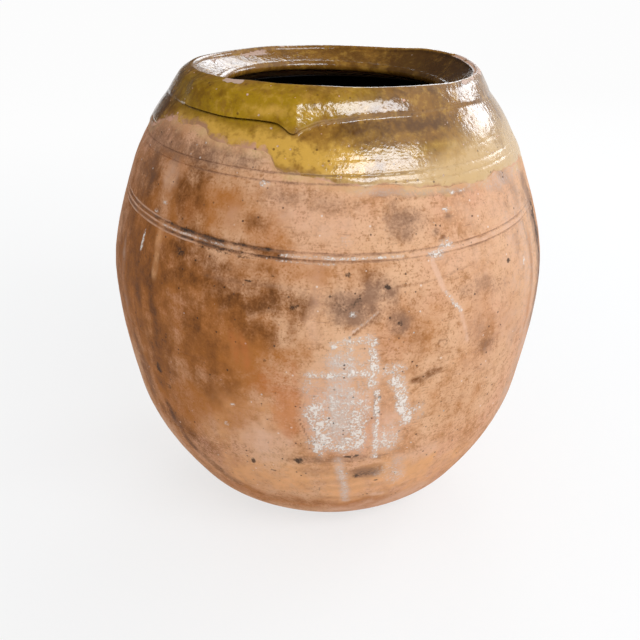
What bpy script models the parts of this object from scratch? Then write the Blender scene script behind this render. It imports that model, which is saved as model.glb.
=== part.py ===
"""Terracotta olive jar, built up from a slab in four courses of clay, with a strip of clay folded
round its mouth and a dip of glaze over the mouth and inside.

Metres, +Z up, with the origin in the middle of the foot. Angles are measured round +Z from +X, so
that -Y is the front of the jar.
"""

import math

import bmesh
import bpy

# Outside of the clay: each station's rise above the one below it, and its radius
FOOT_RADIUS = 0.096
HIP_RISE = 0.045
HIP_RADIUS = 0.153
FLANK_RISE = 0.099
FLANK_RADIUS = 0.202
BELLY_RISE = 0.112
BELLY_RADIUS = 0.216
SHOULDER_RISE = 0.104
SHOULDER_RADIUS = 0.1912
NECK_RISE = 0.076
NECK_RADIUS = 0.1455

# Slab, and the courses of wall luted to each other along bevelled seams
SLAB_THICKNESS = 0.018
WALL_THICKNESS = 0.012
WALL_FOOT_WIDTH = 0.020
LOWER_COURSE_HEIGHT = 0.110
BELLY_COURSE_HEIGHT = 0.097
UPPER_COURSE_HEIGHT = 0.078
SEAM_BEVEL = 0.007
CLEARANCE = 0.0004

# Mouth: a lip over the neck that slopes in to a narrower throat, all leaning a little to one side
LIP_RISE = 0.012
LIP_INSET = 0.007
LIP_ROUNDING = 0.003
THROAT_INSET = 0.0325
THROAT_DROP = 0.015
THROAT_THICKNESS = 0.008
UNDERCUT_DEPTH = 0.012
MOUTH_LEAN = 0.004
MOUTH_OFFSET = 0.005
MOUTH_LEAN_ANGLE = math.radians(-25)

# Collar: a strip folded over the neck, whose lower edge rises towards +X and dips where its ends lap
COLLAR_DROP = 0.0055
COLLAR_EDGE_RISE = 0.003
COLLAR_EDGE_THICKNESS = 0.0035
COLLAR_SWELL = 0.0025
COLLAR_TOP_WIDTH = 0.0085
LAP_DIP = 0.012
LAP_ANGLE = math.radians(-100)
LAP_SPREAD = math.radians(32)
LAP_SHARPNESS = 1.3

# Pairs of lines cut into the turning clay, above the upper seam and below the neck
BELLY_LINE_RISE = 0.0215
SHOULDER_LINE_DROP = 0.0545
LINE_PITCH = 0.006
LINE_WIDTH = 0.003
LINE_DEPTH = 0.0012

# Glaze over the mouth, down to a dip line that drops towards +X
GLAZE_THICKNESS = 0.0008
DIP_DROP = 0.049
DIP_LEAN = 0.016

# Facets: steps round the axis, and the height of clay that one ring of facets covers
STEPS = 48
RING_HEIGHT = 0.021
COLLAR_RINGS = 3
DIP_RINGS = 4

TERRACOTTA_COLOUR = (0.56, 0.29, 0.15)
PALE_TERRACOTTA_COLOUR = (0.66, 0.37, 0.20)
AMBER_GLAZE_COLOUR = (0.31, 0.17, 0.025)
DARK_GLAZE_COLOUR = (0.06, 0.035, 0.015)
CLAY_ROUGHNESS = 0.85
MOUTH_GLAZE_ROUGHNESS = 0.12
INNER_GLAZE_ROUGHNESS = 0.2
SHARP_ANGLE = math.radians(40)

HIP_HEIGHT = HIP_RISE
FLANK_HEIGHT = HIP_HEIGHT + FLANK_RISE
BELLY_HEIGHT = FLANK_HEIGHT + BELLY_RISE
SHOULDER_HEIGHT = BELLY_HEIGHT + SHOULDER_RISE
NECK_HEIGHT = SHOULDER_HEIGHT + NECK_RISE
LIP_HEIGHT = NECK_HEIGHT + LIP_RISE
LIP_RADIUS = NECK_RADIUS - LIP_INSET
LOWER_SEAM_HEIGHT = SLAB_THICKNESS + LOWER_COURSE_HEIGHT
BELLY_SEAM_HEIGHT = LOWER_SEAM_HEIGHT + BELLY_COURSE_HEIGHT
UPPER_SEAM_HEIGHT = BELLY_SEAM_HEIGHT + UPPER_COURSE_HEIGHT

STATIONS = (
    (0.0, FOOT_RADIUS),
    (HIP_HEIGHT, HIP_RADIUS),
    (FLANK_HEIGHT, FLANK_RADIUS),
    (BELLY_HEIGHT, BELLY_RADIUS),
    (SHOULDER_HEIGHT, SHOULDER_RADIUS),
    (NECK_HEIGHT, NECK_RADIUS),
)


def station_slopes():
    """Slope of the outside at each station, kept level at the belly so that the curve never overshoots."""
    spans = [b[0] - a[0] for a, b in zip(STATIONS, STATIONS[1:])]
    chords = [(b[1] - a[1]) / (b[0] - a[0]) for a, b in zip(STATIONS, STATIONS[1:])]
    slopes = [chords[0] + (chords[0] - chords[1]) * spans[0] / (spans[0] + spans[1])]
    for i in range(1, len(chords)):
        before, after = chords[i - 1], chords[i]
        if before * after <= 0:
            slopes.append(0.0)
        else:
            near, far = 2 * spans[i] + spans[i - 1], spans[i] + 2 * spans[i - 1]
            slopes.append((near + far) / (near / before + far / after))
    slopes.append(chords[-1] + (chords[-1] - chords[-2]) * spans[-1] / (spans[-1] + spans[-2]))
    return slopes


SLOPES = station_slopes()


def outer_radius(height):
    """Radius of the plain outside of the clay, a smooth curve through the stations."""
    span = 0
    while span < len(STATIONS) - 2 and height > STATIONS[span + 1][0]:
        span += 1
    (low, low_radius), (high, high_radius) = STATIONS[span], STATIONS[span + 1]
    length = high - low
    t = (height - low) / length
    rise = t * t * (3 - 2 * t)
    lead_in = t * (1 - t) ** 2 * length * SLOPES[span]
    lead_out = t * t * (t - 1) * length * SLOPES[span + 1]
    return low_radius + (high_radius - low_radius) * rise + lead_in + lead_out


def outside(height):
    return (outer_radius(height), height)


def inside(height):
    """Point of the inner wall face, one wall thickness square in from the outside at this height."""
    step = WALL_THICKNESS / 100
    slope = (outer_radius(height + step) - outer_radius(height - step)) / (2 * step)
    along = WALL_THICKNESS / math.hypot(1, slope)
    return (outer_radius(height) - along, height + along * slope)


def spread(low, high, count):
    """Heights from low to high, evenly spaced in this many steps."""
    return [low + (high - low) * i / count for i in range(count + 1)]


def heights(low, high):
    """Evenly spaced heights from low to high, about a ring of facets apart."""
    return spread(low, high, max(2, math.ceil((high - low) / RING_HEIGHT)))


def cut_lines(low, high):
    """Heights of the cut lines' middles that lie whole between low and high."""
    pairs = (UPPER_SEAM_HEIGHT + BELLY_LINE_RISE, NECK_HEIGHT - SHOULDER_LINE_DROP)
    lines = [first + LINE_PITCH * i for first in pairs for i in range(2)]
    return [line for line in lines if low + LINE_WIDTH < line < high - LINE_WIDTH]


def outer_face(low, high):
    """Points up the outside from low to high, with a notch at each cut line."""
    lines = cut_lines(low, high)
    face = []
    for height in heights(low, high):
        if all(abs(height - line) > LINE_WIDTH for line in lines):
            face.append(outside(height))
    for line in lines:
        radius = outer_radius(line)
        face.append(outside(line - LINE_WIDTH / 2))
        face.append((radius - LINE_DEPTH, line))
        face.append(outside(line + LINE_WIDTH / 2))
    return sorted(face, key=lambda point: point[1])


def offset(path, distance):
    """The open path moved sideways by distance, to the left of its direction."""
    normals = []
    for (r0, z0), (r1, z1) in zip(path, path[1:]):
        length = math.hypot(r1 - r0, z1 - z0)
        normals.append(((z0 - z1) / length, (r1 - r0) / length))
    befores = [normals[0]] + normals
    afters = normals + [normals[-1]]
    moved = []
    for (r, z), before, after in zip(path, befores, afters):
        share = distance / (1 + before[0] * after[0] + before[1] * after[1])
        moved.append((r + (before[0] + after[0]) * share, z + (before[1] + after[1]) * share))
    return moved


def course_section(low, high):
    """Closed section of a plain course of the wall, down its outside and up its inside."""
    bottom, top = low + CLEARANCE / 2, high - CLEARANCE / 2
    inner = [inside(height + SEAM_BEVEL) for height in heights(bottom, top)]
    return outer_face(bottom, top)[::-1] + inner


def lower_inner_face(top):
    """Points up the inside of the lowest course, from the fillet that spreads onto the slab."""
    seat = SLAB_THICKNESS + CLEARANCE
    fillet = (outer_radius(seat) - WALL_FOOT_WIDTH, seat)
    rises = [inside(height + SEAM_BEVEL) for height in heights(seat + SEAM_BEVEL, top)]
    return [fillet] + rises


def lower_section():
    """Closed section of the lowest course, which stands flat on the slab."""
    top = LOWER_SEAM_HEIGHT - CLEARANCE / 2
    return outer_face(SLAB_THICKNESS + CLEARANCE, top)[::-1] + lower_inner_face(top)


def slab_section():
    """Half section of the slab, out along its top, down its rounded side and in along the foot."""
    side = [outside(height) for height in heights(0.0, SLAB_THICKNESS)]
    return [(0.0, SLAB_THICKNESS)] + side[::-1] + [(0.0, 0.0)]


def mouth_shift(angle):
    """How far the mouth's points move out and up at this angle, as the mouth leans to one side."""
    return (MOUTH_OFFSET * math.cos(angle), -MOUTH_LEAN * math.cos(angle - MOUTH_LEAN_ANGLE))


def moved(points, shift):
    return [(r + shift[0], z + shift[1]) for r, z in points]


def lip_points(angle):
    """Rounded lip, from its outer to its inner side."""
    top = (LIP_RADIUS - LIP_ROUNDING, LIP_HEIGHT)
    outer = (LIP_RADIUS, LIP_HEIGHT - LIP_ROUNDING)
    inner = (LIP_RADIUS - 2 * LIP_ROUNDING, LIP_HEIGHT - LIP_ROUNDING)
    return moved([outer, top, inner], mouth_shift(angle))


def throat_points(angle):
    """Rounded nose of the throat, from its upper to its lower side."""
    nose = THROAT_THICKNESS / 2
    centre = (LIP_RADIUS - THROAT_INSET + nose, LIP_HEIGHT - THROAT_DROP)
    turns = [math.radians(90 + 45 * i) for i in range(5)]
    arc = [(centre[0] + nose * math.cos(t), centre[1] + nose * math.sin(t)) for t in turns]
    return moved(arc, mouth_shift(angle))


def slope_point(angle, inset):
    """Point on the slope from the lip in to the throat, this far in from the lip's inner side."""
    (r0, z0), (r1, z1) = lip_points(angle)[-1], throat_points(angle)[0]
    share = inset / (r0 - r1)
    return (r0 - inset, z0 + (z1 - z0) * share)


def collar_edge(angle):
    """Height of the collar's lower edge: higher towards +X, with a dip at the lap."""
    away = abs(math.remainder(angle - LAP_ANGLE, math.tau))
    dip = LAP_DIP * max(0.0, 1 - away / LAP_SPREAD) ** LAP_SHARPNESS
    return NECK_HEIGHT - COLLAR_DROP + COLLAR_EDGE_RISE * math.cos(angle) - dip


def collar_face(angle):
    """Points up the collar's swelling outer face, from its lower edge to just under the lip."""
    low = collar_edge(angle)
    start = (outer_radius(low) + CLEARANCE + COLLAR_EDGE_THICKNESS, low)
    end = lip_points(angle)[0]
    face = []
    for share in spread(0.0, 1.0, COLLAR_RINGS)[:-1]:
        swell = COLLAR_SWELL * math.sin(math.pi * share)
        r = start[0] + (end[0] - start[0]) * share + swell
        face.append((r, start[1] + (end[1] - start[1]) * share + swell / 2))
    return face


def collar_section(angle):
    """Closed section of the collar: down its outer face, up the neck that it wraps, and over its top."""
    rises = spread(collar_edge(angle), NECK_HEIGHT, COLLAR_RINGS)
    neck = [(outer_radius(z) + CLEARANCE, z) for z in rises]
    neck[-1] = (neck[-1][0], NECK_HEIGHT + CLEARANCE)
    seat = slope_point(angle, COLLAR_TOP_WIDTH - CLEARANCE)
    return lip_points(angle)[::-1] + collar_face(angle)[::-1] + neck + [seat]


def undercut():
    """Point where the inner wall turns in under the throat."""
    return inside(NECK_HEIGHT - UNDERCUT_DEPTH)


def shoulder_section(angle):
    """Closed section of the shoulder, with the neck and the throat that turns in from it."""
    bottom = UPPER_SEAM_HEIGHT + CLEARANCE / 2
    top = NECK_HEIGHT - UNDERCUT_DEPTH
    inner = [inside(height) for height in heights(bottom + SEAM_BEVEL, top)]
    seat = slope_point(angle, COLLAR_TOP_WIDTH)
    outer = outer_face(bottom, NECK_HEIGHT)
    return outer[::-1] + inner + throat_points(angle)[::-1] + [seat]


def dip_line(angle):
    return NECK_HEIGHT - DIP_DROP - DIP_LEAN * math.cos(angle)


def glazed_clay(angle):
    """Clay surface under the mouth's glaze, from the dip line over the lip and in below the throat."""
    edge = collar_edge(angle)
    wall = [outside(height) for height in spread(dip_line(angle), edge, DIP_RINGS)]
    nose, corner = throat_points(angle), undercut()
    under = ((nose[-1][0] + corner[0]) / 2, (nose[-1][1] + corner[1]) / 2)
    return wall + collar_face(angle) + lip_points(angle) + nose + [under]


def mouth_glaze_path(angle):
    return offset(glazed_clay(angle), -CLEARANCE)


def inner_glaze_profile():
    """Open profile of the coat inside, from the middle of the floor up to below the throat."""
    floor = [(0.0, SLAB_THICKNESS)]
    lower = lower_inner_face(LOWER_SEAM_HEIGHT)
    belly = [inside(z + SEAM_BEVEL) for z in heights(LOWER_SEAM_HEIGHT, BELLY_SEAM_HEIGHT)]
    upper = [inside(z + SEAM_BEVEL) for z in heights(BELLY_SEAM_HEIGHT, UPPER_SEAM_HEIGHT)]
    start = UPPER_SEAM_HEIGHT + SEAM_BEVEL
    shoulder = [inside(z) for z in heights(start, NECK_HEIGHT - 2 * UNDERCUT_DEPTH)]
    path = offset(floor + lower + belly[1:] + upper[1:] + shoulder[1:], CLEARANCE)
    return [(0.0, path[0][1])] + path[1:]


def ceramic(name, colour, roughness):
    material = bpy.data.materials.new(name)
    material.use_nodes = True
    shader = material.node_tree.nodes["Principled BSDF"]
    shader.inputs["Base Color"].default_value = (*colour, 1.0)
    shader.inputs["Roughness"].default_value = roughness
    shader.inputs["Metallic"].default_value = 0.0
    return material


def add_piece(name, mesh, colour, roughness):
    piece = bpy.data.objects.new(name, mesh)
    mesh.materials.append(ceramic(name, colour, roughness))
    bpy.data.collections["olive_jar"].objects.link(piece)
    return piece


def add_turned(name, profile, closed, colour, roughness):
    """A profile of (radius, height) points spun once round the axis."""
    mesh = bpy.data.meshes.new(name)
    edges = [(i, i + 1) for i in range(len(profile) - 1)]
    if closed:
        edges.append((len(profile) - 1, 0))
    mesh.from_pydata([(r, 0.0, z) for r, z in profile], edges, [])
    piece = add_piece(name, mesh, colour, roughness)
    spin = piece.modifiers.new("spin", "SCREW")
    spin.axis = "Z"
    spin.angle = math.tau
    spin.steps = STEPS
    spin.render_steps = STEPS
    spin.use_merge_vertices = True
    spin.merge_threshold = 0.00001
    spin.use_smooth_shade = True
    return piece


def add_loft(name, section_at, closed, colour, roughness):
    """A skin through sections that change from one angle to the next."""
    shape = bmesh.new()
    rings = []
    for step in range(STEPS):
        angle = math.tau * step / STEPS
        across, along = math.cos(angle), math.sin(angle)
        rings.append([shape.verts.new((r * across, r * along, z)) for r, z in section_at(angle)])
    for here, following in zip(rings, rings[1:] + rings[:1]):
        pairs = list(zip(range(len(here)), range(1, len(here))))
        if closed:
            pairs.append((len(here) - 1, 0))
        for i, j in pairs:
            shape.faces.new((here[i], here[j], following[j], following[i]))
    mesh = bpy.data.meshes.new(name)
    shape.to_mesh(mesh)
    shape.free()
    mesh.shade_smooth()
    mesh.set_sharp_from_angle(angle=SHARP_ANGLE)
    return add_piece(name, mesh, colour, roughness)


def add_coat(piece, side):
    """Gives an open skin the thickness of the glaze, on the side away from the clay."""
    coat = piece.modifiers.new("coat", "SOLIDIFY")
    coat.thickness = GLAZE_THICKNESS
    coat.offset = side
    coat.use_even_offset = True


def main():
    for old in list(bpy.data.objects):
        bpy.data.objects.remove(old)
    jar = bpy.data.collections.new("olive_jar")
    bpy.context.scene.collection.children.link(jar)

    add_turned("base_slab", slab_section(), False, TERRACOTTA_COLOUR, CLAY_ROUGHNESS)
    add_turned("lower_wall", lower_section(), True, TERRACOTTA_COLOUR, CLAY_ROUGHNESS)
    belly = course_section(LOWER_SEAM_HEIGHT, BELLY_SEAM_HEIGHT)
    add_turned("belly_wall", belly, True, PALE_TERRACOTTA_COLOUR, CLAY_ROUGHNESS)
    upper = course_section(BELLY_SEAM_HEIGHT, UPPER_SEAM_HEIGHT)
    add_turned("upper_wall", upper, True, PALE_TERRACOTTA_COLOUR, CLAY_ROUGHNESS)
    add_loft("shoulder", shoulder_section, True, TERRACOTTA_COLOUR, CLAY_ROUGHNESS)
    add_loft("rim_collar", collar_section, True, TERRACOTTA_COLOUR, CLAY_ROUGHNESS)

    mouth_glaze = add_loft("mouth_glaze", mouth_glaze_path, False, AMBER_GLAZE_COLOUR, MOUTH_GLAZE_ROUGHNESS)
    add_coat(mouth_glaze, -1.0)
    inner = inner_glaze_profile()
    inner_glaze = add_turned("inner_glaze", inner, False, DARK_GLAZE_COLOUR, INNER_GLAZE_ROUGHNESS)
    add_coat(inner_glaze, 1.0)


main()
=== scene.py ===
# %% [markdown]
# # A glazed olive jar, weathered by long use
# The jar is a stout earthenware store jar. A potter raised it in courses of clay on a flat slab,
# folded a strip of clay round the mouth, dipped the mouth in amber glaze and fired it. Years of
# oil, water and lime have stained the bare clay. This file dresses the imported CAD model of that
# jar: each cell makes one piece or one finish, and says on the way how it is done in Blender.

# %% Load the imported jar
import math

import bmesh
import bpy
import numpy as np
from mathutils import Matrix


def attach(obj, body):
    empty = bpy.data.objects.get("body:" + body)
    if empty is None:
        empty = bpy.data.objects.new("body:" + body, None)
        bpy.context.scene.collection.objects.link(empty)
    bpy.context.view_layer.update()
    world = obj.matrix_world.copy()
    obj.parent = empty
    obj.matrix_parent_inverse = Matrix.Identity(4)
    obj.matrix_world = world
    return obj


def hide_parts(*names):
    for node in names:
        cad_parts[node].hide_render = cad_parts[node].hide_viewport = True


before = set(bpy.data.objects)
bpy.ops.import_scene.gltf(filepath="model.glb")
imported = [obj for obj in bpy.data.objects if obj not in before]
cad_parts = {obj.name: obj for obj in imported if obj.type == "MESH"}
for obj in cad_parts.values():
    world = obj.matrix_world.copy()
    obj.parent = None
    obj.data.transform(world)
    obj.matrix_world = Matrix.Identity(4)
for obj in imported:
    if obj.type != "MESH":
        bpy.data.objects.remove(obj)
bpy.context.view_layer.update()
print("CAD nodes:", ", ".join(sorted(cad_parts)))

# %% [markdown]
# ## Where the picture is taken from
# The camera stands in front of the jar, a little above its mouth, and looks down on it. Turns
# round the jar are counted from this front, with plus to the right of the picture, so that a point
# at a turn t and a radius r lies at x = r sin t and y = -r cos t.

# %% Camera
VIEW_POINT = (-0.0079, -0.879, 0.5787)
VIEW_PITCH = math.radians(24.41)
LENS_MM, SENSOR_MM = 50.19, 36.0

camera = bpy.data.objects.new("camera", bpy.data.cameras.new("camera"))
camera.data.lens, camera.data.sensor_width = LENS_MM, SENSOR_MM
camera.location = VIEW_POINT
camera.rotation_euler = (math.pi / 2 - VIEW_PITCH, 0, 0)
bpy.context.scene.collection.objects.link(camera)
bpy.context.scene.camera = camera
bpy.context.scene.view_settings.view_transform = "Standard"
print("camera looks down by", round(math.degrees(VIEW_PITCH), 1), "degrees")

# %% [markdown]
# ## The line of the wall
# Everything on a thrown jar follows from one line, the outside of its wall. It could be traced as
# a Bezier curve. Here it is worked out from six stations, height against radius, by a curve that
# never swings past them, because the CAD model uses the same six and the two have to agree.

# %% Outside line
STATION_HEIGHTS = (0.0, 0.045, 0.144, 0.256, 0.360, 0.436)
STATION_RADII = (0.096, 0.153, 0.202, 0.216, 0.1912, 0.1455)
NECK_HEIGHT = STATION_HEIGHTS[-1]


def smooth_curve(places, values):
    """A curve through points, as a function. It is level at each peak, so it never overshoots."""
    places, values = np.array(places, float), np.array(values, float)
    spans = np.diff(places)
    chords = np.diff(values) / spans
    slopes = np.zeros(len(places))
    slopes[0] = chords[0] + (chords[0] - chords[1]) * spans[0] / (spans[0] + spans[1])
    slopes[-1] = chords[-1] + (chords[-1] - chords[-2]) * spans[-1] / (spans[-1] + spans[-2])
    for i in range(1, len(chords)):
        before, after = chords[i - 1], chords[i]
        if before * after > 0:
            near, far = 2 * spans[i] + spans[i - 1], spans[i] + 2 * spans[i - 1]
            slopes[i] = (near + far) / (near / before + far / after)

    def at(place):
        i = np.clip(np.searchsorted(places, place) - 1, 0, len(spans) - 1)
        t = (place - places[i]) / spans[i]
        first_bend = t * (1 - t) ** 2 * spans[i] * slopes[i]
        last_bend = t * t * (t - 1) * spans[i] * slopes[i + 1]
        eased = values[i] + (values[i + 1] - values[i]) * t * t * (3 - 2 * t)
        return eased + first_bend + last_bend

    return at


outer_radius = smooth_curve(STATION_HEIGHTS, STATION_RADII)
print("belly diameter:", round(2 * max(STATION_RADII), 3), "m")

# %% [markdown]
# ## Sums on sockets
# Node trees are sums as much as they are pictures. The class below wraps one socket of a tree, so
# that `1 - mask * 0.5` adds the two Math nodes it stands for. It serves Geometry Nodes and shaders
# alike. `node` adds any other node: its settings go in first, then the values or links of its
# sockets.


# %% Socket sums
class Wire:
    """One output socket of a node tree, or just the tree, to add nodes to."""

    def __init__(self, tree, socket=None):
        self.tree, self.socket = tree, socket

    def node(self, kind, sockets=None, out=0, **settings):
        """Adds a node: its settings first, then the values or links of its sockets."""
        made = self.tree.nodes.new(kind)
        for name, value in settings.items():
            setattr(made, name, value)
        for key, value in (sockets or {}).items():
            if isinstance(value, Wire):
                self.tree.links.new(value.socket, made.inputs[key])
            else:
                made.inputs[key].default_value = value
        return Wire(self.tree, made.outputs[out])

    def math(self, operation, *terms):
        return self.node("ShaderNodeMath", dict(enumerate(terms)), operation=operation)

    def __add__(self, other):
        return self.math("ADD", self, other)

    def __sub__(self, other):
        return self.math("SUBTRACT", self, other)

    def __rsub__(self, other):
        return self.math("SUBTRACT", other, self)

    def __mul__(self, other):
        return self.math("MULTIPLY", self, other)

    def __truediv__(self, other):
        return self.math("DIVIDE", self, other)

    __radd__ = __add__
    __rmul__ = __mul__

    def least(self, other):
        return self.math("MINIMUM", self, other)

    def most(self, other):
        return self.math("MAXIMUM", self, other)

    def clip(self):
        """This value, held between 0 and 1."""
        return self.most(0.0).least(1.0)

    def between(self, low, high):
        """0 below low, 1 above high, and a smooth rise between them."""
        ends = {"Value": self, "From Min": low, "From Max": high}
        return self.node("ShaderNodeMapRange", ends, interpolation_type="SMOOTHSTEP")

    def mix(self, under, over):
        """The colour under, covered by the colour over where this value is 1."""
        return self.node("ShaderNodeMix", {0: self, 6: under, 7: over}, 2, data_type="RGBA")

    def stretch(self, *shares):
        return self.node("ShaderNodeVectorMath", {0: self, 1: shares}, operation="MULTIPLY")

    def noise(self, scale, detail=2.0, roughness=0.5, out=0):
        sockets = {"Vector": self, "Scale": scale, "Detail": detail, "Roughness": roughness}
        return self.node("ShaderNodeTexNoise", sockets, out)

    def axes(self):
        split = self.node("ShaderNodeSeparateXYZ", {0: self})
        return [Wire(self.tree, socket) for socket in split.socket.node.outputs]


print("operators ready: + - * /")

# %% [markdown]
# ## The marks of the hand
# No thrown wall is a true surface of revolution. It has shallow dents from handling, ridges from
# the fingers, a faint groove where one course was luted to the next, and on this jar two bands of
# lines that were cut while the clay still turned. The bands are not level: they climb towards the
# back. All of it could be sculpted, but as one sum of noise and grooves it can be used on every
# piece, and pieces that meet then keep meeting.

# %% Cut lines and seams
SEAM_HEIGHTS = (0.128, 0.225, 0.303)
# A band of cut lines: its height at the front, its climb to the back and its fall to the right.
BELLY_BAND = (0.326, 0.0148, 0.0050)
SHOULDER_BAND = (0.3848, 0.0059, 0.0025)
# Each line of a band: how far it lies above the middle, its half width and its depth.
BELLY_LINES = (
    (0.0030, 0.0011, 0.0009), (-0.0026, 0.0010, 0.0009), (0.0003, 0.0007, 0.0004),
    (0.0058, 0.0007, 0.0004), (-0.0054, 0.0007, 0.0004),
)
SHOULDER_LINES = ((0.0033, 0.0008, 0.0008), (-0.0033, 0.0008, 0.0007), (0.0150, 0.0008, 0.0003))


def band_height(band, front, side):
    """Height of a band of cut lines, from the cosine and the sine of the turn."""
    middle, climb, skew = band
    return middle + climb * (1 - front) - skew * side


def groove(height, middle, half_width):
    """1 at the middle of a groove, down to 0 at its edges."""
    off = (height - middle) / half_width
    return (1 - off * off).most(0.0)


print("seams at", SEAM_HEIGHTS, "m")

# %% Relief of the wall
# Each unevenness: the scale of its noise, its detail, and its depth in metres.
DENTS, FINGER_MARKS = (8.0, 1.5, 0.0026), (26.0, 2.0, 0.0004)
TURNING_RINGS, SEAM_WOBBLE = (120.0, 1.0, 0.0004), (30.0, 2.0, 0.002)
SWELLING_HEIGHT, SWELLING_REACH, SWELLING_DEPTH = 0.4105, 0.0210, 0.0014
SEAM_HALF_WIDTH, SEAM_DEPTH = 0.0012, 0.0005


def uneven(place, scale, detail, depth):
    """Noise about nought, in metres."""
    return (place.noise(scale, detail) - 0.5) * depth


def clay_relief(place):
    """Metres by which the wall stands out, and the sine and cosine of the turn."""
    across, along, height = place.axes()
    radius = place.math("SQRT", across * across + along * along)
    side, front = across / radius, along / radius * -1.0
    relief = uneven(place, *DENTS)
    relief = relief + uneven(place.stretch(1, 1, 2.5), *FINGER_MARKS)
    relief = relief + uneven(place.stretch(0.05, 0.05, 1), *TURNING_RINGS)
    swell = groove(height, SWELLING_HEIGHT, SWELLING_REACH)
    relief = relief + swell * swell * SWELLING_DEPTH
    press = place.noise(14.0, 2.0).between(0.25, 0.6)
    for band, lines in ((BELLY_BAND, BELLY_LINES), (SHOULDER_BAND, SHOULDER_LINES)):
        middle = band_height(band, front, side)
        for lift, half_width, depth in lines:
            cut = press * depth * 0.7 + depth * 0.5
            relief = relief - groove(height, middle + lift, half_width) * cut
    wobble = uneven(place, *SEAM_WOBBLE)
    luting = place.noise(11.0, 1.0).between(0.45, 0.7)
    for seam in SEAM_HEIGHTS:
        relief = relief - groove(height, wobble + seam, SEAM_HALF_WIDTH) * luting * SEAM_DEPTH
    return relief, side, front


print("dents of up to", DENTS[-1] / 2 * 1000, "mm")

# %% [markdown]
# ## A tree that throws a wall
# The courses, the slab and their like are all the wall line taken once round the axis, so one
# Geometry Nodes tree makes them. It starts from a flat Grid whose columns are turns and whose rows
# run up the outside and down the inside. Each row looks up its radius in the wall line, which is
# the object's own mesh, and Set Position rolls the grid up into a ring. A Screw modifier would
# turn a profile too, but then the wall line could not be shared between the courses.

# %% Tree helpers
LINE_STEP = 0.001


def new_tree(name, inputs):
    """An empty Geometry Nodes tree with named inputs, and a wire for each of them."""
    tree = bpy.data.node_groups.new(name, "GeometryNodeTree")
    tree.interface.new_socket("Geometry", in_out="INPUT", socket_type="NodeSocketGeometry")
    tree.interface.new_socket("Geometry", in_out="OUTPUT", socket_type="NodeSocketGeometry")
    for label, kind in inputs.items():
        tree.interface.new_socket(label, in_out="INPUT", socket_type="NodeSocket" + kind)
    entry = tree.nodes.new("NodeGroupInput")
    return tree, {socket.name: Wire(tree, socket) for socket in entry.outputs if socket.name}


def end_tree(tree, geometry, material):
    """Ends a tree in plain geometry with its material on."""
    whole = geometry.node("GeometryNodeRealizeInstances", {"Geometry": geometry})
    dressed = geometry.node("GeometryNodeSetMaterial", {"Geometry": whole, "Material": material})
    leave = tree.nodes.new("NodeGroupOutput")
    tree.links.new(dressed.socket, leave.inputs[0])


def keep_value(geometry, label, value, kind="FLOAT"):
    """Stores a value on each point under a name."""
    sockets = {"Geometry": geometry, "Name": label, "Value": value}
    return geometry.node("GeometryNodeStoreNamedAttribute", sockets, data_type=kind, domain="POINT")


def kept_value(wire, label):
    """A value that was kept on the points under a name."""
    return wire.node("GeometryNodeInputNamedAttribute", {"Name": label}, data_type="FLOAT")


def handle_clay(geometry):
    """Moves the outer skin by the marks of the hand, and keeps a blotting noise for the stains."""
    place = geometry.node("GeometryNodeInputPosition")
    relief, side, front = clay_relief(place)
    push = relief * kept_value(geometry, "skin")
    way = geometry.node("ShaderNodeCombineXYZ", {0: push * side, 1: push * front * -1.0})
    moved = geometry.node("GeometryNodeSetPosition", {"Geometry": geometry, "Offset": way})
    return keep_value(moved, "blot", place.noise(55.0, 4.0, 0.6, 1), "FLOAT_VECTOR")


print("wall line read every", LINE_STEP * 1000, "mm")

# %% Tree: thrown wall
WELD_GAP = 0.000001
WALL_INPUTS = {"Steps": "Int", "Outer Rows": "Int", "Inner Rows": "Int", "Low": "Float"}
WALL_INPUTS |= {"High": "Float", "Thickness": "Float", "Crowd": "Float", "Material": "Material"}
thrown_wall, given = new_tree("thrown_wall", WALL_INPUTS)


def line_radius(height):
    """Radius of the wall line at a height, between the two nearest points of the line."""
    index = height / LINE_STEP
    low = index.math("FLOOR", index)
    line = given["Geometry"]
    ends = []
    for number in (low, low + 1):
        place = line.node("GeometryNodeInputPosition")
        sockets = {"Geometry": line, "Value": place, "Index": number}
        kind = {"data_type": "FLOAT_VECTOR", "clamp": True}
        ends.append(line.node("GeometryNodeSampleIndex", sockets, **kind).axes()[0])
    return ends[0] + (ends[1] - ends[0]) * (index - low)


rows = given["Outer Rows"] + given["Inner Rows"] + 2
grid = {"Size X": 1.0, "Size Y": 1.0, "Vertices X": given["Steps"] + 1, "Vertices Y": rows + 1}
sheet = rows.node("GeometryNodeMeshGrid", grid)
column, row, _ = sheet.node("GeometryNodeInputPosition").axes()
turn = (column + 0.5) * math.tau
number = row.math("ROUND", (row + 0.5) * rows)
past_top = number - given["Outer Rows"]
inside = past_top.clip() - (past_top - given["Inner Rows"] - 1).clip()
climb = (number / given["Outer Rows"]).least(1.0) - ((past_top - 1) / given["Inner Rows"]).clip()
climb = climb - climb.math("SINE", climb * math.tau) * given["Crowd"] / math.tau
height = given["Low"] + (given["High"] - given["Low"]) * climb
lean = (line_radius(height + LINE_STEP) - line_radius(height - LINE_STEP)) / (2 * LINE_STEP)
slant = turn.math("SQRT", lean * lean + 1.0)
reach = (line_radius(height) - given["Thickness"] * slant * inside).most(0.0)
across, along = reach * turn.math("COSINE", turn), reach * turn.math("SINE", turn)
rolled = turn.node("ShaderNodeCombineXYZ", {0: across, 1: along, 2: height})
marked = keep_value(sheet, "skin", 1 - inside)
ring = marked.node("GeometryNodeSetPosition", {"Geometry": marked, "Position": rolled})
closed = ring.node("GeometryNodeMergeByDistance", {"Geometry": ring, "Distance": WELD_GAP})
smooth = closed.node("GeometryNodeSetShadeSmooth", {"Geometry": closed})
end_tree(thrown_wall, handle_clay(smooth), given["Material"])
print("thrown_wall has", len(thrown_wall.nodes), "nodes")

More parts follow.
